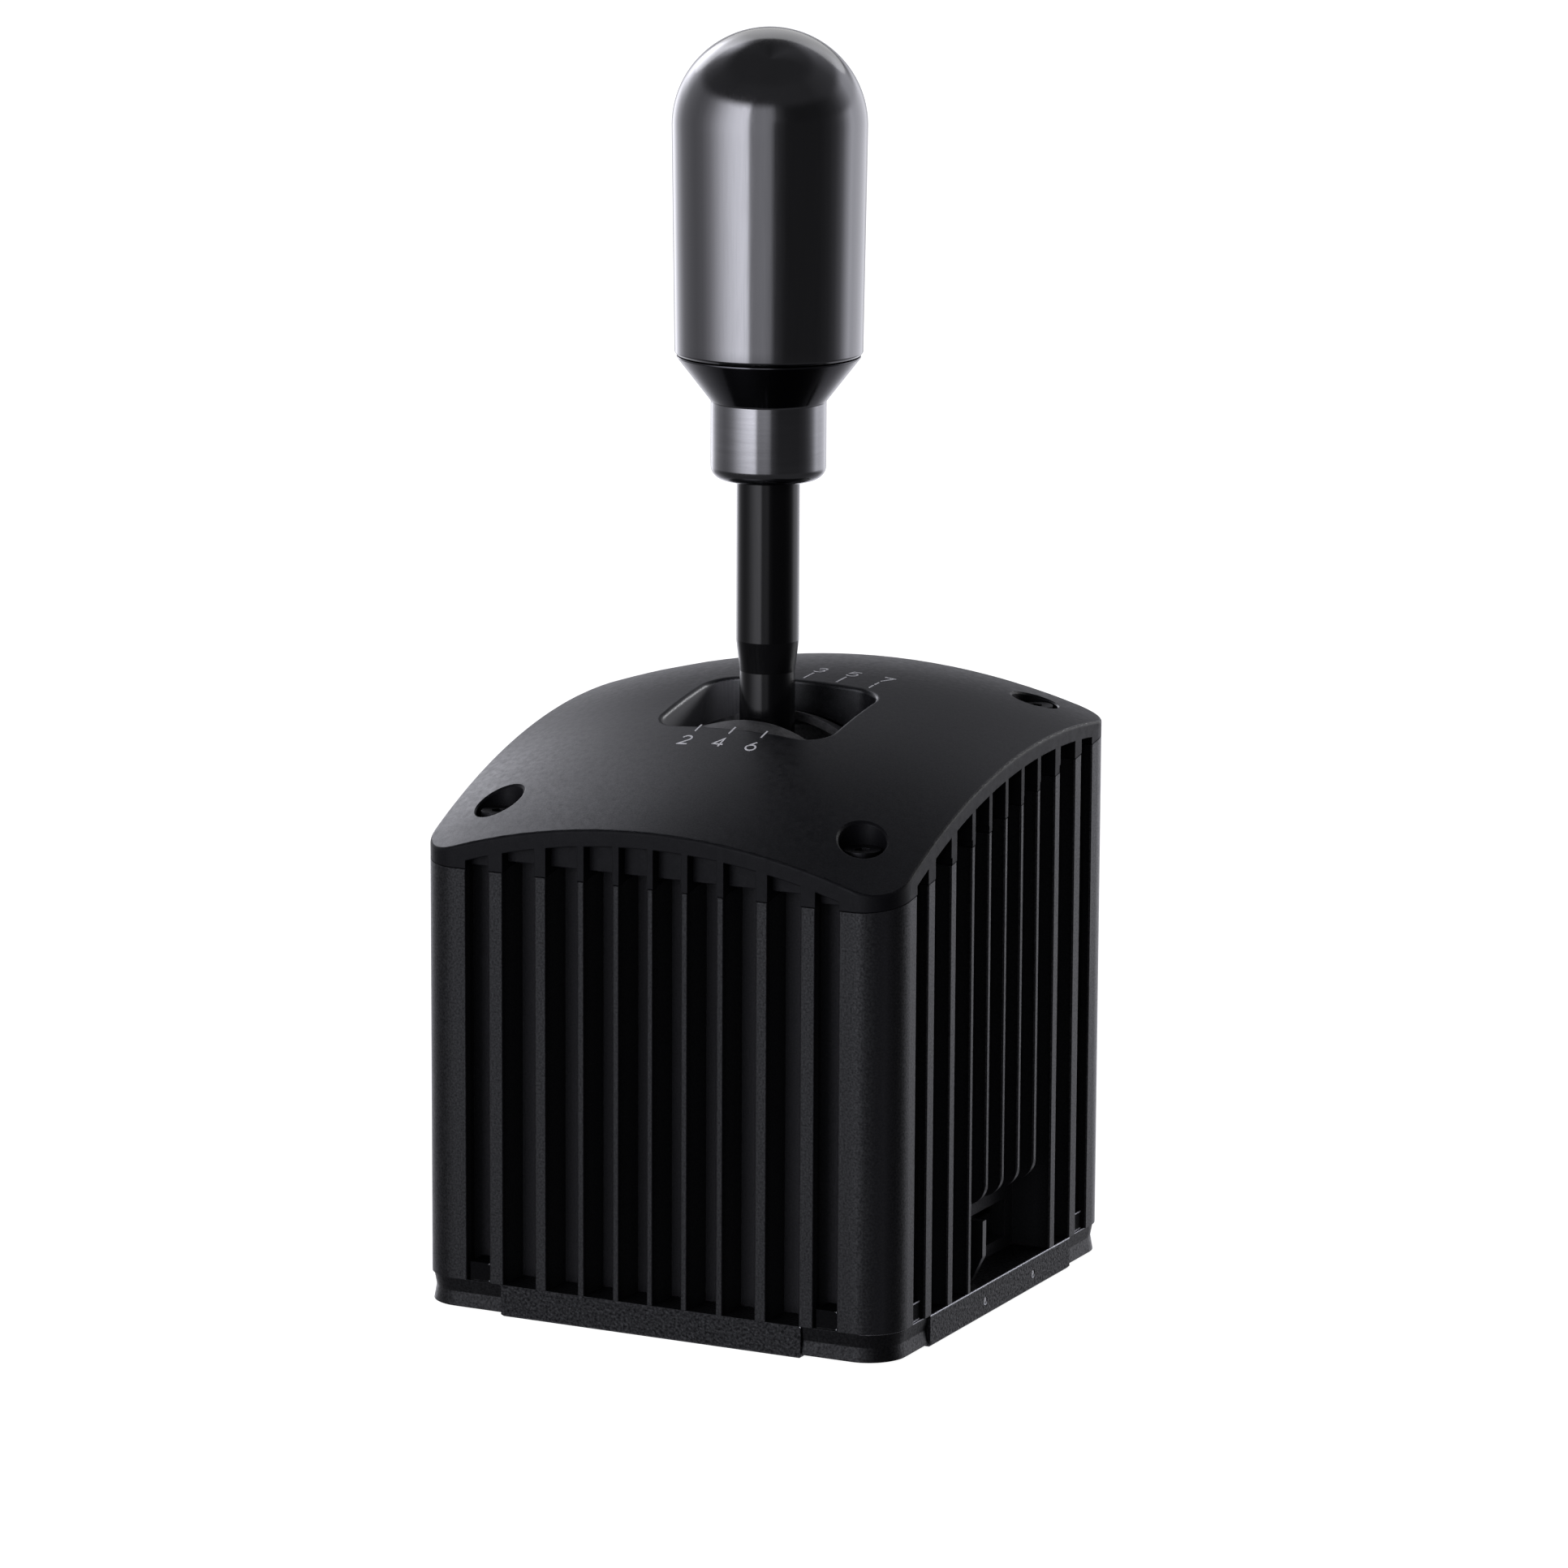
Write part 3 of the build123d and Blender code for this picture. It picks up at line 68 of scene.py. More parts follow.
def make_camera():
    data = bpy.data.cameras.new("camera")
    data.sensor_width = VIEW_SENSOR
    data.lens = VIEW_LENS
    data.clip_start, data.clip_end = VIEW_NEAR, VIEW_FAR
    camera = bpy.data.objects.new("camera", data)
    scene.collection.objects.link(camera)
    ahead = Vector((-sin(VIEW_YAW) * cos(VIEW_PITCH), cos(VIEW_YAW) * cos(VIEW_PITCH),
                    -sin(VIEW_PITCH)))
    above = ASIDE.cross(ahead)
    right = ASIDE * cos(VIEW_ROLL) + above * sin(VIEW_ROLL)
    up = above * cos(VIEW_ROLL) - ASIDE * sin(VIEW_ROLL)
    turn = Matrix((right, up, -ahead)).transposed()
    camera.matrix_world = Matrix.Translation(VIEW_PLACE) @ turn.to_4x4()
    scene.camera = camera


# ---------------------------------------------------------------- shader helpers
def put(tree, kind, inputs=None, **settings):
    """A new shader node. An input that is a socket is linked, and any other is set."""
    made = tree.nodes.new(kind)
    for name, value in settings.items():
        setattr(made, name, value)
    for name, value in (inputs or {}).items():
        if isinstance(value, bpy.types.NodeSocket):
            tree.links.new(value, made.inputs[name])
        else:
            made.inputs[name].default_value = value
    return made


def new_tree(owner):
    """The emptied node tree of a material or a world"""
    owner.use_nodes = True
    owner.node_tree.nodes.clear()
    return owner.node_tree


def ramp(tree, source, stops):
    """Colours or greys along source, from (place, value) stops, of which a ramp holds 32"""
    made = put(tree, "ShaderNodeValToRGB", {"Fac": source})
    made.color_ramp.interpolation = "LINEAR"
    items = made.color_ramp.elements
    while len(items) < len(stops):
        items.new(0.5)
    for item, (place, value) in zip(items, stops):
        item.position = place
        item.color = (value, value, value, 1.0) if isinstance(value, float) else (*value, 1.0)
    return made.outputs["Color"]


def span(tree, value, start, end, low=0.0, high=1.0, **settings):
    """low where value is at start, high where it is at end, and even in between"""
    return put(tree, "ShaderNodeMapRange",
               {"Value": value, "From Min": start, "From Max": end, "To Min": low, "To Max": high},
               **settings).outputs[0]


def times(tree, first, second):
    return put(tree, "ShaderNodeMath", {0: first, 1: second}, operation="MULTIPLY").outputs[0]


def mixed(tree, share, first, second, blend="MIX"):
    """The first colour where share is 0 and the second where it is 1"""
    second = (*second, 1.0) if isinstance(second, tuple) else second
    return put(tree, "ShaderNodeMix", {"Factor": share, "A": first, "B": second},
               data_type="RGBA", blend_type=blend).outputs["Result"]


def parts(tree, vector):
    """The outputs X, Y and Z of a vector"""
    return put(tree, "ShaderNodeSeparateXYZ", {0: vector}).outputs


def facing(tree):
    """The true normal of the surface"""
    return put(tree, "ShaderNodeNewGeometry").outputs["True Normal"]


def bevel(tree, width, samples, normal=None):
    """The normal of a surface whose sharp edges look rounded over a width"""
    inputs = {"Radius": width * MM}
    if normal is not None:
        inputs["Normal"] = normal
    return put(tree, "ShaderNodeBevel", inputs, samples=samples).outputs[0]


def grain(tree, place, scale, stretch=(1, 1, 1), detail=3.0, kind="noise"):
    """A cloudy or cellular pattern, scale features to the metre"""
    spread = put(tree, "ShaderNodeMapping", {"Vector": place, "Scale": stretch}).outputs[0]
    if kind == "cells":
        return put(tree, "ShaderNodeTexVoronoi",
                   {"Vector": spread, "Scale": scale}).outputs["Distance"]
    return put(tree, "ShaderNodeTexNoise", {"Vector": spread, "Scale": scale, "Detail": detail,
                                            "Roughness": 0.6}).outputs["Fac"]


# ---------------------------------------------------------------- where a finish differs
# The cover's crowned top is part of this sphere
CROWN_R = 155.02
CROWN = (0.0, 24.84, -38.71)
BASE_TOP = 6.2                   # the height of the base
TONGUE_FADE = 0.2
GROOVE_START, GROOVE_FULL = 49.6, 47.0         # distance from the housing's middle
BAND_START, BAND_FULL = 31.0, 33.0             # the same, for the cover's outer band
OPENING_START, OPENING_FULL = 24.0, 22.0       # the same, for the cover's opening
SIDE_START, SIDE_FULL = 0.78, 0.70             # Z of the normal on the cover's skirt and cups
WALL_START, WALL_FULL = 0.55, 0.15             # Z of the normal on the opening's walls
WALL_RIGHT = 0.8                               # X of the normal of a wall that faces right


def from_middle(tree, place):
    """The larger of the distances along X and Y from the object's middle"""
    size = parts(tree, put(tree, "ShaderNodeVectorMath", {0: place},
                           operation="ABSOLUTE").outputs[0])
    return put(tree, "ShaderNodeMath", {0: size["X"], 1: size["Y"]},
               operation="MAXIMUM").outputs[0]


def in_grooves(tree, place):
    """1 where the housing's surface lies back from its four outer faces: where the grooves' painted shade
    goes
    """
    return span(tree, from_middle(tree, place), GROOVE_START * MM, GROOVE_FULL * MM)


def above_base(tree, place):
    """1 on the tongues of the corner caps, which stand in the slots above the base: where their painted
    shade goes
    """
    return span(tree, parts(tree, place)["Z"], BASE_TOP * MM, (BASE_TOP + TONGUE_FADE) * MM)


def under_crown(tree, place):
    """1 on the cover's outer band and in its screw cups, 0 on its top and round its opening: where the
    cover's painted shade goes
    """
    steep = span(tree, parts(tree, facing(tree))["Z"], SIDE_START, SIDE_FULL)
    outer = span(tree, from_middle(tree, place), BAND_START * MM, BAND_FULL * MM)
    return times(tree, steep, outer)


def gate_wall(tree, place):
    """1 on the wall of the cover's opening that faces right, 0 on the other walls: where the painted
    light goes
    """
    lean = parts(tree, facing(tree))
    steep = span(tree, lean["Z"], WALL_START, WALL_FULL)
    middle = span(tree, from_middle(tree, place), OPENING_START * MM, OPENING_FULL * MM)
    right = span(tree, lean["X"], 0.0, WALL_RIGHT)
    return times(tree, times(tree, steep, middle), right)


# ---------------------------------------------------------------- finishes
GRAIN_LOW, GRAIN_HIGH = 0.3, 0.7      # a pattern's value mostly lies between these
DUST_LOW, DUST_HIGH = 0.30, 0.72      # the same, for the powdery grain
FINE = 18.0                           # how much finer the roughness varies than the tone
WEAR_AND_HIGHLIGHT_START, WEAR_AND_HIGHLIGHT_FULL = 0.99, 0.80    # cosine between a face and its rounded look
EDGE_SAMPLES, BARE_SAMPLES = 4, 6
BARE_EDGE = 0.6                       # the width over which a bare edge is seen
# (axis, start, end) of the rounded look's normal on the bare edges, which carry a painted highlight: up,
# not level, and right
BARE_LEANS = (("Z", 0.22, 0.40), ("Z", 0.985, 0.93), ("X", 0.15, 0.35))


def surface(name, color, rough, metallic=0.0, specular=0.5, hue=(1.0, 1.0, 1.0), tones=0.12,
            rough_spread=0.08, tone_scale=60.0, stretch=(1, 1, 1), bumps=(), edge=0.0, wear_and_highlight=None,
            bare_edge_highlight=None, inner=None, painted_light=None, sparkle=None):
    """A procedural finish.
    hue: the tint of the shine
    tones, rough_spread: how far the tone and the roughness vary
    tone_scale, stretch: the scale of that variation and how it is drawn out
    bumps: (kind, scale, stretch, depth) of each relief
    edge: the width of the rounded look that every sharp edge gets
    wear_and_highlight: the colour of scuffed edges, which also stands for the highlight that the edges
    catch
    bare_edge_highlight: the colour of the right side's edges that look up, bright metal where the light
    catches them: a painted highlight
    inner: (where, share of the shine, roughness added, colour) of painted shade: the parts made to shine
    less, so that they look shaded
    painted_light: (where, colour) of painted light: a lighter colour on a wall where light falls
    sparkle: (scale, least share of the shine, most) of a powdery grain"""
    material = bpy.data.materials.new(name)
    tree = new_tree(material)
    place = put(tree, "ShaderNodeTexCoord").outputs["Object"]
    cloud = grain(tree, place, tone_scale, stretch, 4.0)
    fine = grain(tree, place, tone_scale * FINE, stretch, 2.0)
    dark = tuple(c * (1 - tones) for c in color)
    light = tuple(min(c * (1 + tones), 1.0) for c in color)
    tint = ramp(tree, cloud, [(GRAIN_LOW, dark), (GRAIN_HIGH, light)])
    roughness = span(tree, fine, GRAIN_LOW, GRAIN_HIGH,
                     max(rough - rough_spread, 0.02), min(rough + rough_spread, 1.0))
    shine = None
    # Painted shade: where the mask says, the colour is swapped, the roughness raised and the shine
    # lowered, so that these parts look shaded
    if inner is not None:
        where, share, matter, hidden = inner
        inside = where(tree, place)
        tint = mixed(tree, inside, tint, hidden)
        roughness = put(tree, "ShaderNodeMath", {0: inside, 1: matter, 2: roughness},
                        operation="MULTIPLY_ADD", use_clamp=True).outputs[0]
        shine = span(tree, inside, 0.0, 1.0, specular, specular * share)
    # Painted light: a lighter colour on the wall of the opening that faces the light from the right
    if painted_light is not None:
        where, lit_colour = painted_light
        tint = mixed(tree, where(tree, place), tint, lit_colour)
    if sparkle is not None:
        scale, least, most = sparkle
        spark = span(tree, grain(tree, place, scale, detail=1.0), DUST_LOW, DUST_HIGH, least, most)
        shine = times(tree, spark, specular if shine is None else shine)
    normal = None
    for kind, scale, spread, depth in bumps:
        inputs = {"Height": grain(tree, place, scale, spread, kind=kind), "Distance": depth * MM,
                  "Strength": 1.0}
        if normal is not None:
            inputs["Normal"] = normal
        normal = put(tree, "ShaderNodeBump", inputs).outputs[0]
    if edge:
        normal = bevel(tree, edge, EDGE_SAMPLES, normal)
    # Scuffed edges, lighter all round: partly wear, partly a painted highlight along the edges
    if wear_and_highlight is not None:
        meet = put(tree, "ShaderNodeVectorMath", {0: bevel(tree, edge, EDGE_SAMPLES),
                                                  1: facing(tree)}, operation="DOT_PRODUCT")
        edge_share = span(tree, meet.outputs["Value"], WEAR_AND_HIGHLIGHT_START, WEAR_AND_HIGHLIGHT_FULL)
        tint = mixed(tree, times(tree, edge_share, cloud), tint, wear_and_highlight)
    # Painted highlight: edges that look up on the right side, where the light falls, turn bright metal
    if bare_edge_highlight is not None:
        lean = parts(tree, bevel(tree, BARE_EDGE, BARE_SAMPLES))
        first, *others = [span(tree, lean[axis], start, end) for axis, start, end in BARE_LEANS]
        metallic = first
        for other in others:
            metallic = times(tree, metallic, other)
        tint = mixed(tree, metallic, tint, bare_edge_highlight)
    shader = put(tree, "ShaderNodeBsdfPrincipled", {
        "Base Color": tint, "Roughness": roughness, "Metallic": metallic,
        "Specular IOR Level": specular, "Specular Tint": (*hue, 1.0)})
    if shine is not None:
        tree.links.new(shine, shader.inputs["Specular IOR Level"])
    if normal is not None:
        tree.links.new(normal, shader.inputs["Normal"])
    out = put(tree, "ShaderNodeOutputMaterial")
    tree.links.new(shader.outputs[0], out.inputs["Surface"])
    return material


EVEN = (1, 1, 1)
LONG = (1.0, 1.0, 0.03)      # drawn out along the extrusion
TURNED = (1.0, 1.0, 12.0)    # drawn out round a turned piece
BRUSHED = (1, 0.04, 1)       # drawn out along Y
POLISHED = (1, 1, 0.05)      # drawn out along the knob
COOL = (0.955, 0.97, 1.0)    # the tint of the shine on the black finishes

FINISHES = {
    "housing_black": dict(
        color=(0.005, 0.005, 0.0056), rough=0.34, specular=0.20, hue=COOL, tones=0.20,
        tone_scale=700.0, stretch=LONG, edge=0.16, wear_and_highlight=(0.05, 0.05, 0.053),
        # painted shade: the grooves shine less than the outer faces
        inner=(in_grooves, 0.45, 0.10, (0.022, 0.022, 0.024)), sparkle=(2500.0, 0.55, 1.7),
        bumps=[("noise", 2600.0, LONG, 0.012), ("noise", 5200.0, EVEN, 0.006)]),
    "cover_black": dict(
        color=(0.0048, 0.0050, 0.0062), rough=0.35, specular=0.50, hue=COOL, tones=0.08,
        rough_spread=0.05, tone_scale=45.0, edge=0.25,
        # painted shade: the outer band and the screw cups shine less than the top
        inner=(under_crown, 0.18, 0.10, (0.005, 0.005, 0.006)),
        # painted light: the wall of the opening that faces right is lighter
        painted_light=(gate_wall, (0.16, 0.16, 0.17)), sparkle=(3200.0, 0.84, 1.2),
        bumps=[("noise", 3200.0, EVEN, 0.007)]),
    "base_coat": dict(
        color=(0.006, 0.006, 0.0068), rough=0.50, specular=0.15, hue=COOL, tones=0.25,
        rough_spread=0.12, tone_scale=120.0, edge=0.2, wear_and_highlight=(0.045, 0.045, 0.05),
        # painted highlight: the base's edges that look up on the right side
        bare_edge_highlight=(0.85, 0.86, 0.90), sparkle=(1800.0, 0.20, 2.7),
        bumps=[("cells", 1900.0, EVEN, 0.05), ("noise", 3000.0, EVEN, 0.03)]),
    "cap_plastic": dict(
        color=(0.006, 0.006, 0.0065), rough=0.38, specular=0.15, hue=COOL, tones=0.12,
        # painted highlight: the caps' edges that look up on the right side
        rough_spread=0.06, tone_scale=90.0, edge=0.25, bare_edge_highlight=(0.55, 0.55, 0.58),
        # painted shade: the tongues in the slots are darker and shine less
        inner=(above_base, 0.10, 0.10, (0.004, 0.004, 0.0044)), sparkle=(2300.0, 0.5, 1.8),
        bumps=[("noise", 2600.0, EVEN, 0.006)]),
    "screw_black": dict(
        color=(0.020, 0.020, 0.022), rough=0.45, metallic=1.0, tones=0.2, tone_scale=300.0,
        edge=0.12, wear_and_highlight=(0.07, 0.07, 0.075), bumps=[("noise", 2500.0, TURNED, 0.01)]),
    "screw_steel": dict(
        color=(0.50, 0.50, 0.52), rough=0.30, metallic=1.0, tones=0.12, tone_scale=300.0,
        edge=0.12, wear_and_highlight=(0.7, 0.7, 0.7), bumps=[("noise", 2500.0, TURNED, 0.008)]),
    "frame_alu": dict(
        color=(0.52, 0.53, 0.55), rough=0.38, metallic=1.0, tones=0.10, tone_scale=80.0,
        edge=0.2, wear_and_highlight=(0.75, 0.76, 0.78),
        bumps=[("noise", 900.0, BRUSHED, 0.012), ("noise", 3000.0, EVEN, 0.004)]),
    "bearing_steel": dict(
        color=(0.55, 0.56, 0.58), rough=0.14, metallic=1.0, tones=0.06, rough_spread=0.05,
        tone_scale=200.0, edge=0.12, bumps=[("noise", 3500.0, TURNED, 0.002)]),
    "spring_steel": dict(
        color=(0.38, 0.38, 0.40), rough=0.28, metallic=1.0, tones=0.15, tone_scale=400.0,
        bumps=[("noise", 3500.0, EVEN, 0.004)]),
    "bush_brass": dict(
        color=(0.62, 0.45, 0.18), rough=0.26, metallic=1.0, tones=0.10, tone_scale=200.0,
        edge=0.12, bumps=[("noise", 3000.0, TURNED, 0.004)]),
    "magnet_nickel": dict(
        color=(0.60, 0.58, 0.55), rough=0.16, metallic=1.0, tones=0.06, tone_scale=200.0,
        edge=0.2, bumps=[("noise", 1500.0, EVEN, 0.003)]),
    "board_green": dict(
        color=(0.012, 0.07, 0.03), rough=0.35, tones=0.25, tone_scale=220.0,
        bumps=[("noise", 700.0, EVEN, 0.01)]),
    "chip_black": dict(
        color=(0.012, 0.012, 0.012), rough=0.5, tones=0.2, tone_scale=500.0, edge=0.1,
        bumps=[("noise", 4000.0, EVEN, 0.006)]),
    "inner_plastic": dict(
        color=(0.05, 0.05, 0.055), rough=0.48, tones=0.12, tone_scale=200.0, edge=0.15,
        bumps=[("noise", 2600.0, EVEN, 0.008)]),
    "shield_grey": dict(
        color=(0.045, 0.045, 0.047), rough=0.58, specular=0.45, tones=0.45, rough_spread=0.12,
        tone_scale=1100.0, edge=0.2,
        bumps=[("noise", 2400.0, EVEN, 0.03), ("cells", 3600.0, EVEN, 0.02)]),
    "rod_black": dict(
        color=(0.003, 0.003, 0.0034), rough=0.16, specular=0.21, tones=0.10, rough_spread=0.03,
        tone_scale=120.0, stretch=LONG, bumps=[("noise", 1600.0, TURNED, 0.0015)]),
    "collar_gunmetal": dict(
        color=(0.195, 0.195, 0.202), rough=0.15, metallic=1.0, tones=0.06, rough_spread=0.04,
        tone_scale=90.0, stretch=TURNED, bumps=[("noise", 1500.0, TURNED, 0.0012)]),
    "knob_gunmetal": dict(
        color=(0.147, 0.147, 0.152), rough=0.13, metallic=1.0, tones=0.05, rough_spread=0.035,
        tone_scale=160.0, stretch=LONG,
        bumps=[("noise", 900.0, POLISHED, 0.0015), ("noise", 3800.0, TURNED, 0.0006)]),
    "tab_black": dict(
        color=(0.006, 0.006, 0.0066), rough=0.36, specular=0.35, tones=0.15, tone_scale=300.0,
        edge=0.15, bumps=[("noise", 2600.0, EVEN, 0.008)]),
    "print_white": dict(
        color=(0.88, 0.88, 0.90), rough=0.55, tones=0.08, tone_scale=900.0,
        bumps=[("noise", 3500.0, EVEN, 0.004)]),
    "cone_black": dict(
        color=(0.055, 0.055, 0.06), rough=0.14, metallic=1.0, tones=0.06, rough_spread=0.03,
        tone_scale=120.0, stretch=TURNED, bumps=[("noise", 1500.0, TURNED, 0.001)]),
}
finish = {name: surface(name, **how) for name, how in FINISHES.items()}


def paint_nodes():
    """Gives each CAD node the finish of its material slot in the record"""
    slots = {part["node"]: part["material_slot"] for part in frame["record"]["subparts"]}
    for name, node in frame["nodes"].items():
        node.data.materials.clear()
        node.data.materials.append(finish[slots[name]])


# ---------------------------------------------------------------- mesh helpers
AXIS = (0.0, -1.35)    # X and Y of the lever's turned pieces


def piece_from(name, points, faces, body, materials, smooth=True, angle=35.0):
    """A piece from points in m. Where it is smooth, edges over angle degrees stay sharp."""
    mesh = bpy.data.meshes.new(name)
    mesh.from_pydata([tuple(p) for p in points], [], faces)
    mesh.validate()
    for material in materials:
        mesh.materials.append(material)
    if smooth:
        mesh.shade_smooth()
        mesh.set_sharp_from_angle(angle=radians(angle))
    made = bpy.data.objects.new(name, mesh)
    scene.collection.objects.link(made)
    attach(made, body)
    return made


def circle(count):
    """(cosine, sine) of even steps round a full turn"""
    return [(cos(2 * pi * k / count), sin(2 * pi * k / count)) for k in range(count)]


def bridge(low, high):
    """Faces from one ring of points to the next, of which one may be a single point"""
    count = max(len(low), len(high))
    pairs = [(k, (k + 1) % count) for k in range(count)]
    if len(low) == 1:
        return [(low[0], high[n], high[k]) for k, n in pairs]
    if len(high) == 1:
        return [(low[k], low[n], high[0]) for k, n in pairs]
    return [(low[k], low[n], high[n], high[k]) for k, n in pairs]


def lathe(name, profile, materials, segments, angle, which=None):
    """A piece of the stick turned about AXIS, from (radius, height) points that run up its
    outside. A profile that ends where it starts gives a ring. which tells from two points
    of the profile which of the materials lies between them."""
    points, rings = [], []
    for radius, height in profile:
        if rings and (radius, height) == profile[0]:
            rings.append(rings[0])
            continue
        turns = circle(segments) if radius else [(0.0, 0.0)]
        rings.append(list(range(len(points), len(points) + len(turns))))
        points += [((AXIS[0] + radius * c) * MM, (AXIS[1] + radius * s) * MM, height * MM)
                   for c, s in turns]
    faces, steps = [], []
    for step, (low, high) in enumerate(zip(rings, rings[1:])):
        band = bridge(low, high)
        faces += band
        steps += [step] * len(band)
    made = piece_from(name, points, faces, "stick", materials, angle=angle)
    if which:
        for face, step in zip(made.data.polygons, steps):
            face.material_index = which(profile[step], profile[step + 1])
    return made


def arc(centre, radii, start, end, steps):
    """Points on an ellipse's arc, angles in degrees counterclockwise from the first axis"""
    turns = [radians(start + (end - start) * k / steps) for k in range(steps + 1)]
    return [(centre[0] + radii[0] * cos(t), centre[1] + radii[1] * sin(t)) for t in turns]


def rounded(profile, radii, steps):
    """Replaces the named corners of an open profile by arcs: radii is {index: radius}."""
    straight = 1e-3    # how near to a straight line, in radians, a corner is left alone
    out = []
    for k, corner in enumerate(profile):
        r = radii.get(k)
        if not r:
            out.append(corner)
            continue
        a, b = Vector(profile[k - 1]) - Vector(corner), Vector(profile[k + 1]) - Vector(corner)
        a.normalize()
        b.normalize()
        half = acos(max(-1.0, min(1.0, a.dot(b)))) / 2
        if abs(half - pi / 2) < straight:
            out.append(corner)
            continue
        reach = r / (sin(half) / cos(half))
        middle = Vector(corner) + (a + b).normalized() * (r / sin(half))
        first, last = Vector(corner) + a * reach, Vector(corner) + b * reach
        start = atan2(*(first - middle).yx)
        end = atan2(*(last - middle).yx)
        while end - start > pi:
            end -= 2 * pi
        while end - start < -pi:
            end += 2 * pi
        turns = [start + (end - start) * s / steps for s in range(steps + 1)]
        out += [(middle.x + r * cos(t), middle.y + r * sin(t)) for t in turns]
    return out


# ---------------------------------------------------------------- turned pieces of the lever
def node_heights(name):
    low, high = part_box(name)
    return low[2] / MM, high[2] / MM


knob_low, knob_top = node_heights("knob_body")
collar_low = node_heights("knob_collar")[0]
rod_low, rod_top = node_heights("shift_rod")

KNOB_R, KNOB_LOW_R, NECK_R, ROD_R, ROD_LOW_R = 18.5, 17.9, 11.0, 6.0, 5.3
NECK_TOP = collar_low + 15.0        # where the collar's cone starts
TAPER_LOW, TAPER_HIGH = 120.0, 126.0
THREAD_R = 5.0                      # the rod's end in the collar and the knob
THREAD_LOW = collar_low + 3.9
BORE_GAP = 0.06                     # between the rod and the collar's bore
RIM_IN, RIM_DROP, RIM_LIFT = 0.42, 0.42, 0.12    # the cone's upper rim under the knob
CONE_EDGE = 0.15                    # how far over the neck's top the cone's finish starts

# The knob's foot, outward from KNOB_LOW_R and up from its lowest point, and where its side starts
KNOB_SEAM = 0.02
KNOB_FOOT = ((-1.0, KNOB_SEAM), (-0.45, 0.10), (0.0, 0.62))
KNOB_SIDE = 1.2
SIDE_STEPS, DOME_STEPS = 24, 56


def make_knob():
    dome_low, side_low = knob_top - KNOB_R, knob_low + KNOB_SIDE
    side_high, widening = dome_low - side_low, KNOB_R - KNOB_LOW_R
    profile = [(0.0, knob_low + KNOB_SEAM)]
    profile += [(KNOB_LOW_R + out, knob_low + up) for out, up in KNOB_FOOT]
    profile = rounded(profile + [(KNOB_R, dome_low)], {1: 0.1, 2: 0.2, 3: 0.5}, 6)[:-1]
    for step in range(1, SIDE_STEPS + 1):
        share = step / SIDE_STEPS
        profile.append((KNOB_LOW_R + widening * share, side_low + side_high * share))
    profile += arc((0.0, dome_low), (KNOB_R, KNOB_R), 0, 90, DOME_STEPS)[1:-1]
    profile.append((0.0, knob_top))
    knob = lathe("knob_shell", profile, [finish["knob_gunmetal"]], 256, 40.0)
    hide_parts("knob_body")


def make_collar():
    bore_r, thread_r, rim_r = ROD_R + BORE_GAP, THREAD_R + BORE_GAP, KNOB_LOW_R - RIM_IN
    rim_high = knob_low - RIM_LIFT
    profile = [
        (bore_r, collar_low + 0.8), (bore_r, collar_low + 0.15),    # the bore and its bevel
        (ROD_R + 0.35, collar_low), (NECK_R, collar_low),           # the lower face
        (NECK_R, NECK_TOP), (rim_r, knob_low - RIM_DROP),           # the neck and the cone
        (rim_r, rim_high), (KNOB_LOW_R - 1.3, rim_high),            # the rim under the knob
        (thread_r, rim_high), (thread_r, THREAD_LOW), (bore_r, THREAD_LOW)]
    profile = rounded(profile, {1: 0.1, 2: 0.12, 3: 2.6, 4: 0.7, 5: 0.12, 6: 0.08}, 10)
    profile.append(profile[0])

    def cone(a, b):
        return 1 if min(a[1], b[1]) > NECK_TOP + CONE_EDGE else 0

    collar = lathe("knob_neck", profile,
                   [finish["collar_gunmetal"], finish["cone_black"]], 256, 30.0, cone)
    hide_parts("knob_collar")


def make_rod():
    profile = [(0.0, rod_low), (ROD_LOW_R, rod_low), (ROD_LOW_R, TAPER_LOW), (ROD_R, TAPER_HIGH),
               (ROD_R, THREAD_LOW), (THREAD_R, THREAD_LOW), (THREAD_R, rod_top), (0.0, rod_top)]
    profile = rounded(profile, {1: 0.3, 2: 0.25, 3: 1.2, 6: 0.3}, 8)
    rod = lathe("shift_rod_skin", profile, [finish["rod_black"]], 160, 30.0)
    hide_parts("shift_rod")


# ---------------------------------------------------------------- gear marks
MARK_WIDTH, MARK_LIFT, MARK_ROOT = 0.34, 0.02, -0.05    # the print's stroke, face and foot
MARK_STEP = 0.5                                         # the longest piece of a stroke
MITRE = 0.45                                            # cosine at which a mitre stops growing

# Each gear's X, then the Y of its tick's runs
FRONT_MARKS = {"2": (-7.2, [(-17.5, -14.8)]), "4": (0.0, [(-17.5, -14.8)]),
               "6": (6.8, [(-17.5, -14.8)])}
REAR_MARKS = {"1": (-7.0, [(13.8, 18.2)]), "3": (0.3, [(13.8, 18.2)]), "5": (7.3, [(13.8, 18.2)]),
              "7": (14.3, [(13.8, 15.7), (16.4, 18.2)])}
# (marks, how far right of its tick the digit stands, the Y of its foot, its height)
MARK_ROWS = ((FRONT_MARKS, -0.2, -22.6, 3.1), (REAR_MARKS, 0.2, 19.3, 3.4))

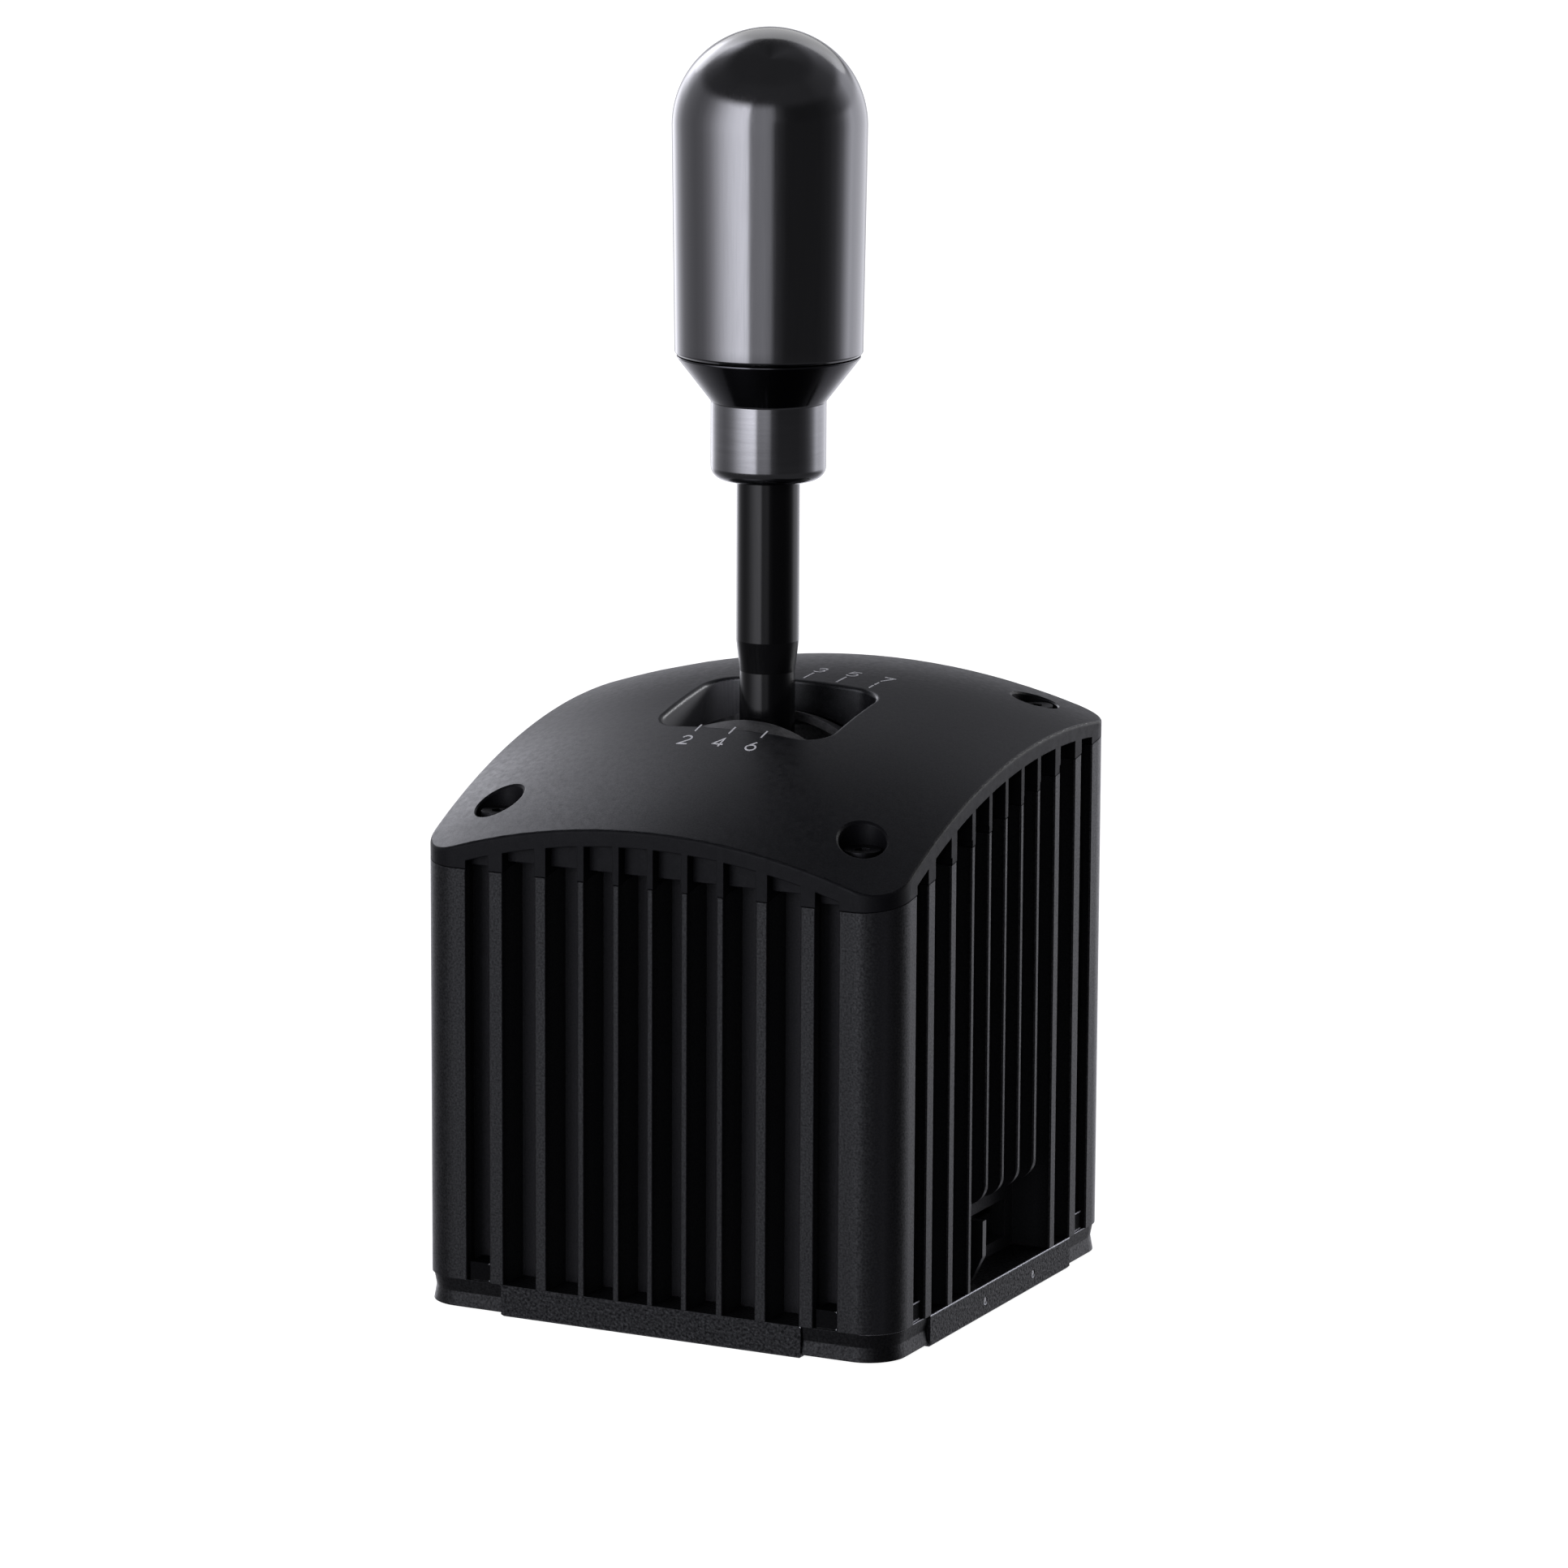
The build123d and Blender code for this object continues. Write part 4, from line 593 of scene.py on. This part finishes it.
# The strokes of each digit, one unit high
GLYPHS = {
    "1": [[(0.10, 0.76), (0.38, 1.0), (0.38, 0.0)]],
    "2": [arc((0.31, 0.70), (0.30, 0.30), 165, -35, 16) + [(0.02, 0.0), (0.64, 0.0)]],
    "3": [arc((0.30, 0.745), (0.27, 0.255), 150, -90, 14)
          + arc((0.30, 0.265), (0.31, 0.265), 90, -150, 16)[1:]],
    "4": [[(0.46, 0.0), (0.46, 1.0), (0.0, 0.27), (0.66, 0.27)]],
    "5": [[(0.58, 1.0), (0.12, 1.0), (0.06, 0.54)]
          + arc((0.30, 0.32), (0.31, 0.32), 125, -150, 18)],
    "6": [[(0.44, 1.0), (0.10, 0.52)] + arc((0.32, 0.31), (0.31, 0.31), 150, 510, 28)],
    "7": [[(0.0, 1.0), (0.62, 1.0), (0.22, 0.0)]],
}


def on_crown(x, y, lift):
    """The point in m over x and y that stands lift above the cover's crown"""
    dx, dy = x - CROWN[0], y - CROWN[1]
    up = Vector((dx, dy, sqrt(CROWN_R ** 2 - dx * dx - dy * dy)))
    return (Vector(CROWN) + up.normalized() * (CROWN_R + lift)) * MM


def ribbon(line, width):
    """(left, right) edge points of a flat stroke along a 2-D line, mitred at its corners"""
    left, right = [], []
    for k, place in enumerate(line):
        a, b = max(k, 1), min(k + 1, len(line) - 1)
        before = (Vector(line[a]) - Vector(line[a - 1])).normalized()
        after = (Vector(line[b]) - Vector(line[b - 1])).normalized()
        along = before + after
        along = before if along.length < 1e-6 else along.normalized()
        side = Vector((-along.y, along.x))
        reach = width / 2 / max(side.dot(Vector((-before.y, before.x))), MITRE)
        left.append(Vector(place) + side * reach)
        right.append(Vector(place) - side * reach)
    return left, right


def refine(line):
    """The line with points no further apart than about MARK_STEP, so that it follows the crown"""
    out = [line[0]]
    for a, b in zip(line, line[1:]):
        count = max(1, int(hypot(b[0] - a[0], b[1] - a[1]) / MARK_STEP))
        out += [(a[0] + (b[0] - a[0]) * k / count, a[1] + (b[1] - a[1]) * k / count)
                for k in range(1, count + 1)]
    return out


def mark_piece(name, lines):
    """Printed strokes on the crown, each with two sides, a face and two ends"""
    points, faces = [], []
    for line in lines:
        left, right = ribbon(refine(line), MARK_WIDTH)
        first = len(points)
        for a, b in zip(left, right):
            points += [on_crown(a.x, a.y, MARK_ROOT), on_crown(a.x, a.y, MARK_LIFT),
                       on_crown(b.x, b.y, MARK_LIFT), on_crown(b.x, b.y, MARK_ROOT)]
        last = len(points) - 4
        for i in range(first, last, 4):
            j = i + 4
            faces += [(i, j, j + 1, i + 1), (i + 1, j + 1, j + 2, i + 2),
                      (i + 2, j + 2, j + 3, i + 3)]
        faces += [(first, first + 1, first + 2, first + 3), (last + 3, last + 2, last + 1, last)]
    piece_from(name, points, faces, "base", [finish["print_white"]], smooth=False)


def make_marks():
    for marks, aside, foot, height in MARK_ROWS:
        for digit, (x, runs) in marks.items():
            mark_piece("mark_tick_" + digit, [[(x, start), (x, end)] for start, end in runs])
            strokes = GLYPHS[digit]
            width = max(p[0] for stroke in strokes for p in stroke)
            middle = x + aside
            mark_piece("mark_gear_" + digit,
                       [[(middle + (p[0] - width / 2) * height, foot + p[1] * height)
                         for p in stroke] for stroke in strokes])


# ---------------------------------------------------------------- dots of the selector
DOT_PLACES = (-7.2, 14.65)          # along Y
DOT_FACE, DOT_HEIGHT = 50.0, 3.1    # the base's right face, and the middle of the dots on it
DOT_SIDES = 40
# (radius, depth under the face), from the middle down into the dimple
DOT_SHAPE = ((0.0, 0.10), (0.45, 0.10), (0.60, 0.13), (0.66, 0.20), (0.66, 0.35))


def make_dots():
    """Pale dots that fill the two dimples on the base's right face"""
    for number, y in enumerate(DOT_PLACES, 1):
        points, rings = [], []
        for radius, depth in DOT_SHAPE:
            turns = circle(DOT_SIDES) if radius else [(0.0, 0.0)]
            rings.append(list(range(len(points), len(points) + len(turns))))
            points += [((DOT_FACE - depth) * MM, (y + radius * c) * MM,
                        (DOT_HEIGHT + radius * s) * MM) for c, s in turns]
        faces = [face for upper, lower in zip(rings, rings[1:]) for face in bridge(lower, upper)]
        faces.append(tuple(reversed(rings[-1])))
        piece_from("base_dot_" + str(number), points, faces, "base",
                   [finish["print_white"]])


# ---------------------------------------------------------------- springs
WIRE_R = 0.5                         # the wire's radius
END_TURN, END_PITCH = 0.75, 1.05     # the closed turn at each end of a coil
END_REACH, END_SHARE = 0.01, 0.75    # the wire's cut end: its length in turns and its width
TURN_STEPS, WIRE_SIDES = 48, 14
NEAR_TURN = 0.001                    # the step over which the wire's direction is taken


def make_coil(name, node, turns, way):
    """A wound spring with closed ends for the node's rigid one."""
    low, high = (Vector(corner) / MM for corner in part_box(node))
    along = Vector(way)
    across = Vector((0.0, 0.0, 1.0)) if way[0] else Vector((1.0, 0.0, 0.0))
    beside = along.cross(across)
    length = abs((high - low).dot(along)) - 2 * WIRE_R
    coil_r = (high[1] - low[1]) / 2 - WIRE_R
    start = (low + high) / 2 - along * (length / 2 + WIRE_R)

    def height(turn):
        if turn <= END_TURN:
            return END_PITCH * turn
        if turn >= turns - END_TURN:
            return length - END_PITCH * (turns - turn)
        share = (turn - END_TURN) / (turns - 2 * END_TURN)
        return END_PITCH * END_TURN + (length - 2 * END_PITCH * END_TURN) * share

    def wire(turn):
        """The wire's middle at a turn, and the way out from the coil's axis"""
        out = across * cos(2 * pi * turn) + beside * sin(2 * pi * turn)
        return start + along * (WIRE_R + height(turn)) + out * coil_r, out

    stops = [(k / TURN_STEPS, 1.0) for k in range(turns * TURN_STEPS + 1)]
    stops = [(-END_REACH, END_SHARE), *stops, (turns + END_REACH, END_SHARE)]
    points, rings = [], []
    for turn, share in stops:
        middle, out = wire(turn)
        ahead = (wire(turn + NEAR_TURN)[0] - wire(turn - NEAR_TURN)[0]).normalized()
        up = ahead.cross(out)
        rings.append(list(range(len(points), len(points) + WIRE_SIDES)))
        points += [(middle + (out * c + up * s) * WIRE_R * share) * MM
                   for c, s in circle(WIRE_SIDES)]
    faces = [face for first, second in zip(rings, rings[1:]) for face in bridge(first, second)]
    faces += [tuple(reversed(rings[0])), tuple(rings[-1])]
    coil = piece_from(name, points, faces, "lever", [finish["spring_steel"]],
                      angle=50.0)
    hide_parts(node)
    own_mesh(coil)


def make_springs():
    for side, way in (("left", (-1, 0, 0)), ("right", (1, 0, 0))):
        make_coil("coil_" + side, "centring_spring_" + side, turns=5, way=way)
    make_coil("coil_press", "press_spring", turns=4, way=(0, 0, 1))


# ---------------------------------------------------------------- studio
FLOOR_GLOW = 0.96
FLOOR_SIZE, FLOOR_CELLS = 30.0, 24    # m
FLOOR_TONES = ((0.50, 0.50, 0.50), (0.53, 0.53, 0.53))
WHITE = (1.0, 1.0, 1.0, 1.0)


def make_floor():
    """The pale floor, which is seen but lights nothing"""
    line = [-FLOOR_SIZE / 2 + FLOOR_SIZE * k / FLOOR_CELLS for k in range(FLOOR_CELLS + 1)]
    row = len(line)
    points = [(x, y, 0.0) for y in line for x in line]
    corners = [r * row + c for r in range(FLOOR_CELLS) for c in range(FLOOR_CELLS)]
    mesh = bpy.data.meshes.new("floor")
    mesh.from_pydata(points, [], [(i, i + 1, i + row + 1, i + row) for i in corners])
    floor = bpy.data.objects.new("floor", mesh)
    scene.collection.objects.link(floor)
    material = bpy.data.materials.new("floor_pale")
    tree = new_tree(material)
    place = put(tree, "ShaderNodeTexCoord").outputs["Object"]
    tint = ramp(tree, grain(tree, place, 6.0), list(zip((GRAIN_LOW, GRAIN_HIGH), FLOOR_TONES)))
    shader = put(tree, "ShaderNodeBsdfPrincipled", {
        "Base Color": tint, "Roughness": 0.9, "Specular IOR Level": 0.0,
        "Emission Color": WHITE, "Emission Strength": FLOOR_GLOW})
    out = put(tree, "ShaderNodeOutputMaterial")
    tree.links.new(shader.outputs[0], out.inputs["Surface"])
    mesh.materials.append(material)
    floor.visible_glossy = False
    floor.visible_diffuse = False
    floor.visible_shadow = False


# Softboxes round the object: (degrees from the photograph's side, to the right positive,
# brightness), in bands from below the floor's line to overhead
UNDER_RING = [
    (-180, 1.4), (-160, 1.1), (-140, 0.5), (-115, 0.16), (-90, 0.09), (90, 0.09), (110, 0.16),
    (140, 0.5), (160, 1.1), (180, 1.4)]
LEVEL_RING = [
    (-180, 0.55), (-168, 0.7), (-163, 1.5), (-157, 2.6), (-148, 2.0), (-138, 1.3), (-125, 0.7),
    (-113, 0.5), (-99, 0.40), (-87, 0.48), (-75, 0.87), (-64, 1.75), (-53, 2.75), (-43, 3.45),
    (-34, 3.9), (-26, 3.7), (-22.5, 0.80), (-6, 0.98), (2, 0.80), (6, 0.16), (20, 0.055),
    (62, 0.055), (76, 0.09), (86, 0.18), (96, 0.45), (105, 1.2), (113, 1.9), (120, 1.6),
    (140, 1.6), (156, 1.6), (168, 0.6), (180, 0.55)]
LOW_RING = [
    (-180, 0.11), (-172, 0.17), (-166, 0.75), (-158, 4.0), (-148, 3.0), (-138, 1.6), (-125, 0.7),
    (-113, 0.5), (-99, 0.40), (-87, 0.48), (-75, 0.87), (-64, 1.75), (-53, 2.75), (-43, 3.45),
    (-34, 3.9), (-26, 3.7), (-22.5, 0.80), (-6, 0.98), (3, 0.82), (8, 0.2), (20, 0.06),
    (32, 0.045), (62, 0.05), (76, 0.075), (86, 0.13), (96, 0.25), (106, 0.55), (114, 0.9),
    (122, 1.3), (140, 1.2), (156, 0.25), (180, 0.11)]
HIGH_RING = [
    (-180, 0.28), (-168, 0.33), (-161, 0.9), (-150, 2.2), (-141, 1.4), (-130, 0.4), (-115, 0.2),
    (-100, 0.13), (-60, 0.10), (0, 0.11), (60, 0.10), (110, 0.20), (140, 0.45), (150, 0.6),
    (160, 0.34), (170, 0.22), (180, 0.28)]
TOP_RING = [
    (-180, 0.07), (-150, 0.10), (-120, 0.09), (-90, 0.09), (90, 0.09), (140, 0.16), (180, 0.07)]
RING_TOP = 4.0                         # the brightness that a ramp's white stands for
RING_TINT = (0.975, 0.975, 1.05)
# Each band above the first, and the elevations over which it takes over from the one below
RINGS = ((LEVEL_RING, -20, -9), (LOW_RING, 6, 13), (HIGH_RING, 23, 33), (TOP_RING, 46, 60))


def make_world():
    """The softboxes as a sky, which the camera itself sees as plain white"""
    world = bpy.data.worlds.new("studio")
    scene.world = world
    tree = new_tree(world)
    way = put(tree, "ShaderNodeTexCoord").outputs["Generated"]
    across, along = [put(tree, "ShaderNodeVectorMath", {0: way, 1: axis},
                         operation="DOT_PRODUCT").outputs["Value"] for axis in (ASIDE, TOWARD)]
    angle = put(tree, "ShaderNodeMath", {0: across, 1: along}, operation="ARCTAN2").outputs[0]
    turn = span(tree, angle, -pi, pi)
    height = parts(tree, way)["Z"]

    def band(ring):
        return ramp(tree, turn, [((a + 180.0) / 360.0, min(b / RING_TOP, 1.0)) for a, b in ring])

    glow = band(UNDER_RING)
    for ring, start, end in RINGS:
        rise = span(tree, height, sin(radians(start)), sin(radians(end)),
                    interpolation_type="SMOOTHSTEP")
        glow = mixed(tree, rise, glow, band(ring))
    glow = mixed(tree, 1.0, glow, RING_TINT, "MULTIPLY")
    light = put(tree, "ShaderNodeBackground", {"Color": glow, "Strength": RING_TOP})
    plain = put(tree, "ShaderNodeBackground", {"Color": WHITE, "Strength": 1.0})
    seen = put(tree, "ShaderNodeLightPath").outputs["Is Camera Ray"]
    both = put(tree, "ShaderNodeMixShader", {0: seen, 1: light.outputs[0], 2: plain.outputs[0]})
    out = put(tree, "ShaderNodeOutputWorld")
    tree.links.new(both.outputs[0], out.inputs["Surface"])


RIM_HEIGHT = 200.0                       # the height that the panels look at
RIM_LAYERS = (0.55, 0.8, 1.0, 1.2, 1.4)  # sizes of a panel's layers, whose sum fades at the edge


def make_rim(name, turn, rise, width, height, glow, pieces):
    """A panel 1 m away, soft at its edge, that lights only the named pieces. turn and rise are in
    degrees from the photograph's side and from level, and the sizes in m."""
    way = TOWARD * cos(radians(turn)) + ASIDE * sin(radians(turn))
    way = way * cos(radians(rise)) + Vector((0.0, 0.0, sin(radians(rise))))
    lit = bpy.data.collections.new(name + "_lit")
    for piece in pieces:
        lit.objects.link(bpy.data.objects[piece])
    for layer, size in enumerate(RIM_LAYERS, 1):
        data = bpy.data.lights.new(name + "_" + str(layer), "AREA")
        data.shape, data.size, data.size_y = "ELLIPSE", width * size, height * size
        area = data.size * data.size_y * pi / 4
        data.energy = glow / len(RIM_LAYERS) * pi * area
        panel = bpy.data.objects.new(data.name, data)
        scene.collection.objects.link(panel)
        panel.location = Vector((AXIS[0], AXIS[1], RIM_HEIGHT)) * MM + way
        panel.rotation_mode = "QUATERNION"
        panel.rotation_quaternion = way.to_track_quat("Z", "Y")
        panel.visible_camera = False
        panel.light_linking.receiver_collection = lit


def make_studio():
    scene.view_settings.view_transform = "Standard"
    make_floor()
    make_world()
    make_rim("rim_above", turn=180.0, rise=34.0, width=1.15, height=0.50, glow=4.6,
             pieces=("knob_shell", "knob_neck"))
    make_rim("light_right", turn=120.0, rise=13.0, width=0.45, height=0.16, glow=36.0,
             pieces=("top_cover", "dust_shield", "shift_rod_skin"))


make_camera()
paint_nodes()
make_knob()
make_collar()
make_rod()
make_marks()
make_dots()
make_springs()
make_studio()
